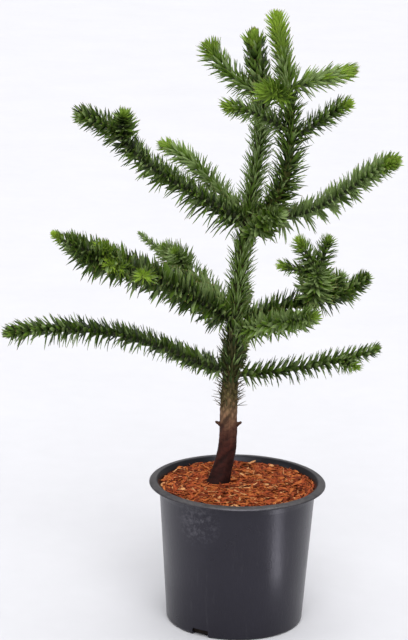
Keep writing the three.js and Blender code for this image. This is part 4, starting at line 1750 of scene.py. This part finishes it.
@dataclass
class Foliage:
    """All stems and leaves, grown from the limbs by the spiral rule."""

    TWIG_SHARP = 60.0

    limbs: dict[LimbName, Limb]
    rule: LeafRule = field(default_factory=LeafRule)
    blade: LeafBlade = field(default_factory=LeafBlade)
    twig_step: float = 12.0
    least_steps: int = 3
    twig_root: float = 4.6
    twig_bare: float = 3.0
    shoot_root: float = 3.2
    shoot_bare: float = 4.0
    shoot_tip_leaf: float = 0.55
    twig_sides: int = 10
    twig_station: float = 3.2
    twig_end: float = 1.0
    twig_pinch: float = 0.4
    ridges: float = 5.0
    ridge_turn: float = 0.9
    ridge_height: float = 0.09
    limb_clear: float = 0.5
    limb_shares: tuple[float, ...] = (0.3, 0.65, 1.0)
    stem_clear: float = 3.0
    stem_shares: tuple[float, ...] = (0.25, 0.6, 0.9)

    def __post_init__(self) -> None:
        """Makes the materials that the groups share."""
        self.skins = {tint: finish.material() for tint, finish in LEAF_FINISHES.items()}
        self.spine = LEAF_SPINE.material()
        self.rind = SHADED_TWIG_RIND.material()

    def stems_of(self, branch: Branch) -> list[Stem]:
        """Grows a branch's main stem and its side shoots.

        Args:
            branch: The branch.

        Returns:
            Its stems, the main one first.
        """
        limb = self.limbs[branch.limb]
        start = limb.curve.at_height(branch.height)
        bare = float(limb.radius(np.atleast_1d(start))[0]) + self.twig_bare
        root = limb.curve.spot(start)[0]
        curve = self._stem_line(root, branch.compass, branch.pitches, branch.length)
        main = Stem(curve, bare, self.twig_root, branch.tip_leaf, branch.coat, branch.habit)
        return [main, *self._shoots_of(main, branch.shoots)]

    def _stem_line(
        self, root: Array, compass: float, pitches: tuple[float, ...], length: float
    ) -> GrowthLine:
        """Walks a stem in equal steps whose pitch is blended along a list.

        Args:
            root: Where it starts.
            compass: Its compass angle.
            pitches: Its pitches from root to tip.
            length: Its length.

        Returns:
            The stem's line.
        """
        steps = max(self.least_steps, round(length / self.twig_step))
        points = [root]
        for step in range(steps):
            pitch = float(blend(pitches, np.array((step + 0.5) / steps)))
            points.append(points[-1] + direction(compass, pitch) * (length / steps))
        return GrowthLine(np.array(points))

    def _shoots_of(self, parent: Stem, shoots: tuple[Shoot, ...]) -> list[Stem]:
        """Grows the shoots on a stem, and theirs in turn.

        Args:
            parent: The stem.
            shoots: Its shoots.

        Returns:
            The shoots' stems.
        """
        grown = []
        for shoot in shoots:
            root = parent.curve.spot(shoot.at * parent.curve.length)[0]
            pitches = (shoot.pitch, shoot.pitch)
            curve = self._stem_line(root, shoot.compass, pitches, shoot.length)
            size = (self.shoot_bare, self.shoot_root, self.shoot_tip_leaf)
            stem = Stem(curve, *size, shoot.coat, shoot.habit)
            grown.extend([stem, *self._shoots_of(stem, shoot.shoots)])
        return grown

    @staticmethod
    def _clear_of(
        leaves: LeafBatch, bodies: list[Limb | Stem], shares: tuple[float, ...], spare: float
    ) -> LeafBatch:
        """Leaves out what would run into limbs or stems.

        Args:
            leaves: The leaves.
            bodies: The limbs or stems.
            shares: Where along each leaf its distance is taken.
            spare: The least distance from their surface.

        Returns:
            The leaves that are clear.
        """
        kept = np.ones(len(leaves.root), bool)
        for body in bodies:
            for share in shares:
                gap, along = body.curve.gap_to(leaves.middles(share))
                kept &= gap > body.radius(along) + spare
        return leaves.keep(kept)

    def _add_twig(self, surface: Surface, stem: Stem) -> None:
        """Adds a stem with the spiral ridges of its leaf feet.

        Args:
            surface: Where the stem goes.
            stem: The stem.
        """
        end = stem.curve.length
        distance = np.append(np.arange(0.0, end - self.twig_end, self.twig_station), end)
        turns = round_turns(self.twig_sides)
        ridges = np.cos(self.ridges * turns[None, :] + distance[:, None] * self.ridge_turn)
        radii = stem.radius(distance)[:, None] * (1.0 + self.ridge_height * ridges)
        radii[-1] *= self.twig_pinch
        _, side, up = stem.curve.frames(distance)
        tube(surface, stem.curve.spot(distance), side, up, radii)

    def _build_leaves(self, group: str, batches: list[LeafBatch], nodes: list[str]) -> None:
        """Joins a group's leaves into one piece for each tint.

        Args:
            group: The group's name.
            batches: Its leaves.
            nodes: The CAD nodes that the pieces stand for.
        """
        for tint in Tint:
            chosen = LeafBatch.joined([batch.keep(batch.tints == tint) for batch in batches])
            if not len(chosen.root):
                continue
            piece = self.blade.build(f"{group}_{tint.value}_leaves", chosen)
            skins = [self.skins[tint], self.spine]
            dress(piece, skins, LEAF_FINISHES[tint].slot, nodes)

    def build(self) -> None:
        """Grows the whole plant above the wood and dresses it."""
        stems = {branch.name: self.stems_of(branch) for branch in BRANCHES}
        for whorl in Whorl:
            self._build_whorl(whorl, stems)
        mains = [stems[branch.name][0] for branch in BRANCHES]
        for limb in self.limbs.values():
            self._build_sleeves(limb, mains)

    def _build_whorl(self, whorl: Whorl, stems: dict[str, list[Stem]]) -> None:
        """Builds the stems and leaves of a ring of branches.

        Args:
            whorl: The ring.
            stems: The stems of all branches.
        """
        members = [branch for branch in BRANCHES if branch.whorl is whorl]
        nodes = [branch.name for branch in members]
        limbs = list(self.limbs.values())
        batches, twigs = [], Surface()
        for branch in members:
            rng = np.random.default_rng(SEED + BRANCHES.index(branch))
            for stem in stems[branch.name]:
                leaves = self.rule.on_stem(stem, rng)
                batches.append(self._clear_of(leaves, limbs, self.limb_shares, self.limb_clear))
                self._add_twig(twigs, stem)
        piece = twigs.build(f"{whorl.value}_twigs", self.TWIG_SHARP)
        dress(piece, [self.rind], "green_bark", nodes)
        self._build_leaves(whorl.value, batches, nodes)

    def _build_sleeves(self, limb: Limb, stems: list[Stem]) -> None:
        """Builds the leaves that clothe a limb, clear of the branches' feet.

        Args:
            limb: The limb.
            stems: The branches' main stems.
        """
        members = [sleeve for sleeve in SLEEVES if sleeve.limb is limb.name]
        nodes = sorted({sleeve.name for sleeve in members})
        others = [other for other in self.limbs.values() if other is not limb]
        batches = []
        for sleeve in members:
            rng = np.random.default_rng(SLEEVE_SEED + SLEEVES.index(sleeve))
            leaves = self.rule.on_limb(sleeve, limb, rng)
            leaves = self._clear_of(leaves, stems, self.stem_shares, self.stem_clear)
            batches.append(self._clear_of(leaves, others, self.limb_shares, self.limb_clear))
        self._build_leaves(limb.name.value, batches, nodes)


@dataclass
class NurseryPot:
    """A round moulded pot with a thin flat lip, a shoulder and drain notches."""

    SHARP = 38.0
    CUTTER_SHARP = 30.0

    height: float = 250.0
    floor_ring: float = 60.0
    foot_radius: float = 119.0
    foot_rounding: float = 6.0
    neck_radius: float = 135.5
    mouth_radius: float = 140.0
    mouth_rounding: float = 2.0
    mouth_pull: float = 1.0
    mouth_drop: float = 2.5
    lip_radius: float = 153.0
    lip_slope: float = 2.5
    lip_depth: float = 6.0
    lip_rounding: float = 4.5
    lip_edge: float = 2.0
    lip_pull: Pair = (1.0, 0.5)
    neck_rounding: float = 4.0
    neck_share: float = 0.8
    neck_drop: float = 1.5
    wall: float = 3.0
    wall_steps: int = 16
    shoulder: float = 0.4
    shoulder_height: float = 16.0
    shoulder_rise: float = 3.0
    shoulder_pull: float = 2.0
    sides: int = 144
    notch_width: float = 34.0
    notch_height: float = 13.0
    notch_count: int = 3
    notch_compass: float = 240.0
    notch_top: float = 0.44
    notch_reach: float = 2.0

    @staticmethod
    def _arc(start: Pair, pull: Pair, end: Pair, count: int) -> list[Pair]:
        """Gives points along a curve that a third point pulls, without its start.

        Args:
            start: Its start.
            pull: The point that pulls it.
            end: Its end.
            count: How many points it has.

        Returns:
            The points, the end last.
        """
        rows = []
        for step in range(1, count + 1):
            part = step / count
            shares = ((1 - part) ** 2, 2 * part * (1 - part), part**2)
            corners = zip(start, pull, end, strict=True)
            rows.append(tuple(shares[0] * a + shares[1] * b + shares[2] * c for a, b, c in corners))
        return rows

    def profile(self) -> list[Pair]:
        """Gives the wall's section, from the foot round to the inside.

        Returns:
            Radius and height of each point.
        """
        foot, neck = self.foot_radius, self.neck_radius
        mouth, lip = self.mouth_radius, self.lip_radius
        top, low, inner = self.height, self.foot_rounding, self.mouth_rounding
        under = top - self.lip_depth
        edge = top - self.lip_slope
        shelf = under - self.shoulder_height
        slope = (neck - foot) / (under - low)
        at_shelf = foot + slope * (shelf - low)
        rows = [(0.0, 0.0), (self.floor_ring, 0.0), (foot - low, 0.0)]
        rows += self._arc(rows[-1], (foot, 0.0), (foot, low), count=8)
        for step in range(1, self.wall_steps):
            part = step / self.wall_steps
            rows.append((foot + (at_shelf - foot) * part, low + (shelf - low) * part))
        shoulder_end = (at_shelf + self.shoulder, shelf + self.shoulder_rise)
        shoulder_pull = (at_shelf, shelf + self.shoulder_pull)
        rows += self._arc((at_shelf, shelf), shoulder_pull, shoulder_end, count=4)
        rows.append((neck + self.shoulder * self.neck_share, under - self.neck_drop))
        neck_end = (neck + self.neck_rounding, under)
        rows += self._arc(rows[-1], (neck + self.shoulder, under), neck_end, count=4)
        rows.append((lip - self.lip_rounding, under))
        rows += self._arc(rows[-1], (lip, under), (lip, edge - self.lip_edge), count=6)
        aside, down = self.lip_pull
        rows += self._arc(rows[-1], (lip - aside, top - down), (mouth + inner, top), count=10)
        mouth_end = (mouth - inner, top - self.mouth_drop)
        rows += self._arc(rows[-1], (mouth - self.mouth_pull, top), mouth_end, count=5)
        rows.append((neck - self.wall, under - self.wall))
        rows.append((foot - self.wall, low))
        rows.append((foot - low, self.wall))
        rows += [(self.floor_ring, self.wall), (0.0, self.wall)]
        return rows

    def build(self) -> Piece:
        """Turns the pot, cuts its drain notches and dresses it.

        Returns:
            The dressed piece.
        """
        surface, cutters = Surface(), Surface()
        turned(surface, self.profile(), self.sides)
        pot = surface.build("nursery_pot", self.SHARP)
        for index in range(self.notch_count):
            self._add_cutter(cutters, self.notch_compass + index * 360.0 / self.notch_count)
        cutter = cutters.build("drain_notch_cutter", self.CUTTER_SHARP)
        cut = pot.modifiers.new("drain_notches", "BOOLEAN")
        cut.operation = "DIFFERENCE"
        cut.solver = "EXACT"
        cut.object = cutter
        bpy.context.view_layer.update()
        graph = bpy.context.evaluated_depsgraph_get()
        notched = bpy.data.meshes.new_from_object(pot.evaluated_get(graph))
        pot.modifiers.clear()
        whole = pot.data
        pot.data = notched
        bpy.data.meshes.remove(whole)
        bpy.data.objects.remove(cutter)
        pot.data.shade_smooth()
        pot.data.set_sharp_from_angle(angle=math.radians(self.SHARP))
        return dress(pot, [PotFinish().material()], "pot", ["pot"])

    def _add_cutter(self, surface: Surface, compass: float) -> None:
        """Adds the body that cuts one drain notch, wider at its foot.

        Args:
            surface: Where the body goes.
            compass: The notch's compass angle.
        """
        top, reach = self.notch_top, self.notch_reach * self.foot_rounding
        section = ((-0.5, -1.0), (0.5, -1.0), (top, 1.0), (-top, 1.0))
        points = np.array(
            [
                (self.foot_radius + out, across * self.notch_width, rise * self.notch_height)
                for out in (-reach, reach)
                for across, rise in section
            ]
        )
        turn = math.radians(compass)
        turning = [[math.cos(turn), math.sin(turn)], [-math.sin(turn), math.cos(turn)]]
        flat = points[:, :2] @ np.array(turning)
        ends = [(0, 3, 2, 1), (4, 5, 6, 7)]
        sides = [(0, 1, 5, 4), (1, 2, 6, 5), (2, 3, 7, 6), (3, 0, 4, 7)]
        surface.add(np.column_stack((flat, points[:, 2])), [np.array(ends + sides)])


@dataclass
class BarkMulch:
    """A layer of bark flakes and thin shreds on the potting soil."""

    BED_SHARP = 60.0
    CHIP_SHARP = 40.0

    soil_top: float = 212.3
    edge: float = 240.0
    top: float = 246.0
    sunk: float = 1.5
    rim: float = 132.2
    rim_clear: float = 1.5
    foot_rim: float = 129.0
    roughness: float = 1.5
    broad_wave: float = 46.0
    fine_wave: float = 14.0
    fine_share: float = 0.6
    rings: int = 44
    sides: int = 132
    flakes: int = 1500
    flake_growth: Pair = (5.0, 3.0)
    flake_least: float = 5.0
    flake_width: Pair = (3.0, 8.5)
    flake_thick: Pair = (0.8, 2.0)
    flake_pitch: float = 0.17
    shreds: int = 1300
    shred_length: Pair = (12.0, 36.0)
    shred_width: Pair = (0.9, 2.2)
    shred_thick: Pair = (0.5, 1.0)
    shred_pitch: float = 0.2
    longest: float = 38.0
    roll: float = 0.32
    along_rim: Pair = (-0.3, 0.3)
    stations: tuple[float, ...] = (-0.5, -0.28, 0.05, 0.33, 0.5)
    halves: tuple[float, ...] = (0.25, 0.85, 1.0, 0.8, 0.2)
    half_jitter: Pair = (0.75, 1.15)
    sway: float = 0.12
    arch: Pair = (0.0, 0.1)
    lift: Pair = (0.2, 2.6)
    deepest: float = 8.0
    trunk_foot: Pair = (-33.0, 4.0)
    trunk_clear: float = 19.0

    def height(self, x: Array, y: Array) -> Array:
        """Gives the bed's height at places across the pot.

        Args:
            x: First coordinate of each place.
            y: Second coordinate of each place.

        Returns:
            The heights.
        """
        rng = np.random.default_rng(BED_SEED)
        out = np.clip(np.hypot(x, y) / self.rim, 0.0, 1.0)
        domed = self.edge + (self.top - self.edge) * np.sqrt(1.0 - out)
        broad = ripple(x, y, self.broad_wave, rng)
        rough = broad + self.fine_share * ripple(x, y, self.fine_wave, rng)
        return domed - self.sunk + self.roughness * rough

    def build(self) -> None:
        """Lays the bed, then the flakes and shreds on it."""
        rng = np.random.default_rng(CHIP_SEED)
        self._build_bed()
        pieces = {tint: Surface() for tint in ChipTint}
        for number in range(self.flakes + self.shreds):
            tint = rng.choice(list(CHIP_SHARES), p=list(CHIP_SHARES.values()))
            self._add_chip(pieces[tint], rng, number >= self.flakes)
        for tint, surface in pieces.items():
            piece = surface.build(f"{tint.value}_bark_chips", self.CHIP_SHARP)
            dress(piece, [CHIP_FINISHES[tint].material()], "mulch", ["bark_mulch"])

    def _build_bed(self) -> None:
        """Makes the uneven bed that the chips lie on."""
        profile = [(0.0, self.soil_top), (self.foot_rim, self.soil_top)]
        for ring in range(self.rings):
            profile.append((self.rim * (1.0 - ring / self.rings), self.edge))
        profile.append((0.0, self.edge))
        surface = Surface()
        turned(surface, profile, self.sides)
        points = surface.points[0]
        on_top = points[:, 2] > self.soil_top
        points[on_top, 2] = self.height(points[on_top, 0], points[on_top, 1])
        piece = surface.build("bark_mulch_bed", self.BED_SHARP)
        dress(piece, [MULCH_BED.material()], "mulch", ["bark_mulch"])

    def _chip_size(self, rng: Random, shred: bool) -> Place:
        """Draws the size of a flake or a shred.

        Args:
            rng: Source of the size.
            shred: True for a thin shred, false for a flake.

        Returns:
            Its length, width and thickness.
        """
        if shred:
            length = rng.uniform(*self.shred_length)
            width, thick = rng.uniform(*self.shred_width), rng.uniform(*self.shred_thick)
        else:
            length = rng.gamma(*self.flake_growth) + self.flake_least
            width, thick = rng.uniform(*self.flake_width), rng.uniform(*self.flake_thick)
        return min(length, self.longest), width, thick

    def _chip_place(self, rng: Random) -> Pair:
        """Draws a place on the bed, clear of the trunk.

        Args:
            rng: Source of the place.

        Returns:
            Its distance from the pot's middle, and its angle.
        """
        while True:
            out = (self.rim - self.rim_clear) * math.sqrt(rng.random())
            turn = rng.uniform(0.0, FULL_TURN)
            place = (out * math.cos(turn), out * math.sin(turn))
            if math.dist(place, self.trunk_foot) > self.trunk_clear:
                return out, turn

    def _add_chip(self, surface: Surface, rng: Random, shred: bool) -> None:
        """Adds one flake or shred, lying unevenly on the bed.

        Args:
            surface: The surface of its tint.
            rng: Source of its size and place.
            shred: True for a thin shred, false for a flake.
        """
        length, width, thick = self._chip_size(rng, shred)
        out, turn = self._chip_place(rng)
        heading = rng.uniform(0.0, FULL_TURN)
        if out + length / 2.0 > self.rim:
            heading = turn + math.pi / 2.0 + rng.uniform(*self.along_rim)
        pitch = rng.normal(0.0, self.shred_pitch if shred else self.flake_pitch)
        roll = rng.normal(0.0, self.roll)
        level = math.cos(pitch)
        along = (math.cos(heading) * level, math.sin(heading) * level, math.sin(pitch))
        along = np.array(along)
        flat = unit(np.cross(UPRIGHT, along))
        lift = np.cross(along, flat)
        side = flat * math.cos(roll) + lift * math.sin(roll)
        normal = lift * math.cos(roll) - flat * math.sin(roll)
        stations, count = np.array(self.stations), len(self.stations)
        halves = np.array(self.halves) * rng.uniform(*self.half_jitter, count)
        sway = rng.normal(0.0, self.sway, count) * width
        arch = -rng.uniform(*self.arch) * length * (2.0 * stations) ** 2
        rows = []
        for station, half, drift, rise in zip(stations, halves, sway, arch, strict=True):
            middle = along * station * length + side * drift + normal * rise
            edge = side * half * width / 2.0
            up = normal * thick * 0.5
            rows += [middle - edge, middle + up, middle + edge, middle - up]
        x, y = out * math.cos(turn), out * math.sin(turn)
        base = float(self.height(np.array([x]), np.array([y]))[0])
        points = np.array(rows) + np.array([x, y, base + rng.uniform(*self.lift)])
        points[:, 2] = np.maximum(points[:, 2], self.edge - self.deepest)
        last = len(rows) - 1
        caps = np.array([(0, 1, 2, 3), (last, last - 1, last - 2, last - 3)])
        surface.add(points, [np.concatenate((ring_walls(count, 4, inward=True), caps))])


@dataclass(frozen=True)
class Softbox:
    """A broad far light.

    Attributes:
        name: Its name.
        turn: How it is tipped from straight down: about X, Y and Z, in degrees.
        strength: Its strength.
        width: How wide it looks, in degrees.
    """

    name: str
    turn: Place
    strength: float
    width: float

    def build(self) -> None:
        """Adds the light to the scene."""
        lamp = bpy.data.lights.new(self.name, "SUN")
        lamp.energy = self.strength
        lamp.angle = math.radians(self.width)
        holder = bpy.data.objects.new(self.name, lamp)
        holder.rotation_euler = Euler([math.radians(part) for part in self.turn])
        bpy.context.scene.collection.objects.link(holder)


@dataclass(frozen=True)
class Reflector:
    """A bright card on the floor beside the pot, for its gloss alone.

    Attributes:
        name: Its name.
        compass: Its bearing from the pot, in degrees to the right of the front.
        reach: How far its middle lies from the pot's middle, in metres.
        size: Its length along that bearing and its width, in metres.
        strength: Its strength, in watts.
        lift: How far it lies above the floor, in metres.
    """

    name: str
    compass: float
    reach: float
    size: Pair
    strength: float
    lift: float = 0.004

    def build(self) -> None:
        """Adds the card to the scene."""
        lamp = bpy.data.lights.new(self.name, "AREA")
        lamp.shape = "RECTANGLE"
        lamp.size, lamp.size_y = self.size
        lamp.energy = self.strength
        card = bpy.data.objects.new(self.name, lamp)
        bearing = math.radians(self.compass - 90.0)
        x, y = self.reach * math.cos(bearing), self.reach * math.sin(bearing)
        card.location = (x, y, self.lift)
        card.rotation_euler = (math.pi, 0.0, bearing)
        card.visible_camera = False
        card.visible_diffuse = False
        bpy.context.scene.collection.objects.link(card)


@dataclass
class Studio:
    """The pale floor, the soft light and the camera. Lengths are in metres."""

    FLOOR_SHARP = 30.0

    floor_half: float = 90.0
    camera_place: Place = (-0.0639, -3.565, 1.431)
    camera_pitch: float = 14.119
    camera_roll: float = 1.236
    focal_pixels: float = 2160.1
    frame_height: float = 640.0
    sensor: float = 36.0
    sight: float = 400.0
    sky: str = "#f6f6f8"
    sky_strength: float = 0.34
    lights: tuple[Softbox | Reflector, ...] = (
        Softbox("key_light", (42.0, 0.0, 6.0), 2.5, 46.0),
        Softbox("left_light", (84.0, 0.0, -68.0), 0.5, 44.0),
        Softbox("top_light", (-8.0, 0.0, -10.0), 2.4, 60.0),
        Reflector("right_reflector", 57.0, 0.56, (0.5, 0.09), 0.6),
        Reflector("left_reflector", -88.0, 0.5, (0.5, 0.6), 0.17),
    )

    def build(self) -> None:
        """Sets up the studio."""
        self._floor()
        self._sky()
        for light in self.lights:
            light.build()
        self._camera()
        settings = bpy.context.scene.view_settings
        settings.view_transform = "Standard"
        settings.look = "None"

    def _floor(self) -> None:
        """Lays the floor."""
        surface = Surface()
        corners = [(-1.0, -1.0, 0.0), (1.0, -1.0, 0.0), (1.0, 1.0, 0.0), (-1.0, 1.0, 0.0)]
        points = np.array(corners) * (self.floor_half / MM)
        surface.add(points, [np.array([(0, 1, 2, 3)])])
        floor = surface.build("studio_floor", self.FLOOR_SHARP)
        floor.data.materials.append(STUDIO_FLOOR.material())

    def _sky(self) -> None:
        """Lights the room evenly from all round."""
        world = bpy.data.worlds.new("studio_sky")
        world.use_nodes = True
        light = world.node_tree.nodes["Background"]
        light.inputs["Color"].default_value = linear(self.sky)
        light.inputs["Strength"].default_value = self.sky_strength
        bpy.context.scene.world = world

    def _camera(self) -> None:
        """Sets the camera at the photograph's place and angle."""
        lens = bpy.data.cameras.new("studio_camera")
        lens.sensor_width = self.sensor
        lens.lens = self.focal_pixels * self.sensor / self.frame_height
        lens.clip_end = self.sight
        camera = bpy.data.objects.new("studio_camera", lens)
        tip = Euler((math.radians(90.0 - self.camera_pitch), 0.0, 0.0)).to_matrix()
        roll = Euler((0.0, 0.0, math.radians(self.camera_roll))).to_matrix()
        camera.rotation_euler = (tip @ roll).to_euler()
        camera.location = Vector(self.camera_place)
        bpy.context.scene.collection.objects.link(camera)
        bpy.context.scene.camera = camera


def make_limbs() -> dict[LimbName, Limb]:
    """Gives the trunk and the second leader.

    Returns:
        The limbs by name.
    """
    trunk = Limb(
        TRUNK,
        (
            *((-36, 2, 228), (-19, 14, 306), (-18, 17, 372), (-16, 15, 440)),
            *((-10, 12, 545), (4, 10, 705), (25, 10, 873), (9, 10, 1014)),
        ),
        (16, 15.5, 15, 13, 10.5, 8, 6, 3),
        sides=64,
        foot=238.0,
        fine_until=455.0,
        bark=TRUNK_BARK,
        slot="bark",
        flare=4.5,
        relief=BarkRelief(bare_until=352.0),
        stubs=(CutStub(341.0, 186.0), CutStub(341.0, 352.0)),
    )
    second = Limb(
        SECOND,
        (
            *((8, 9, 712), (40, -24, 734), (66, -46, 792)),
            *((72, -50, 865), (64, -50, 945), (44, -50, 1050)),
        ),
        (6.5, 6.5, 6, 5.5, 4.5, 2.2),
        sides=28,
        foot=712.0,
        fine_until=790.0,
        bark=GREEN_BARK,
        slot="green_bark",
        fine_step=1.8,
    )
    return {trunk.name: trunk, second.name: second}


def dress_soil() -> None:
    """Gives the potting soil under the chips its crumbly finish."""
    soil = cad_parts["potting_soil"]
    soil.data.materials.clear()
    soil.data.materials.append(POTTING_SOIL.material())
    LOG.info("potting_soil: carried over with its own finish")


def main() -> None:
    """Builds the tree, its pot and the studio."""
    logging.basicConfig(level=logging.INFO, format="%(name)s %(message)s")
    limbs = make_limbs()
    Studio().build()
    NurseryPot().build()
    dress_soil()
    BarkMulch().build()
    for limb in limbs.values():
        limb.build()
    Foliage(limbs).build()
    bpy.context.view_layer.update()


if __name__ == "__main__":
    main()
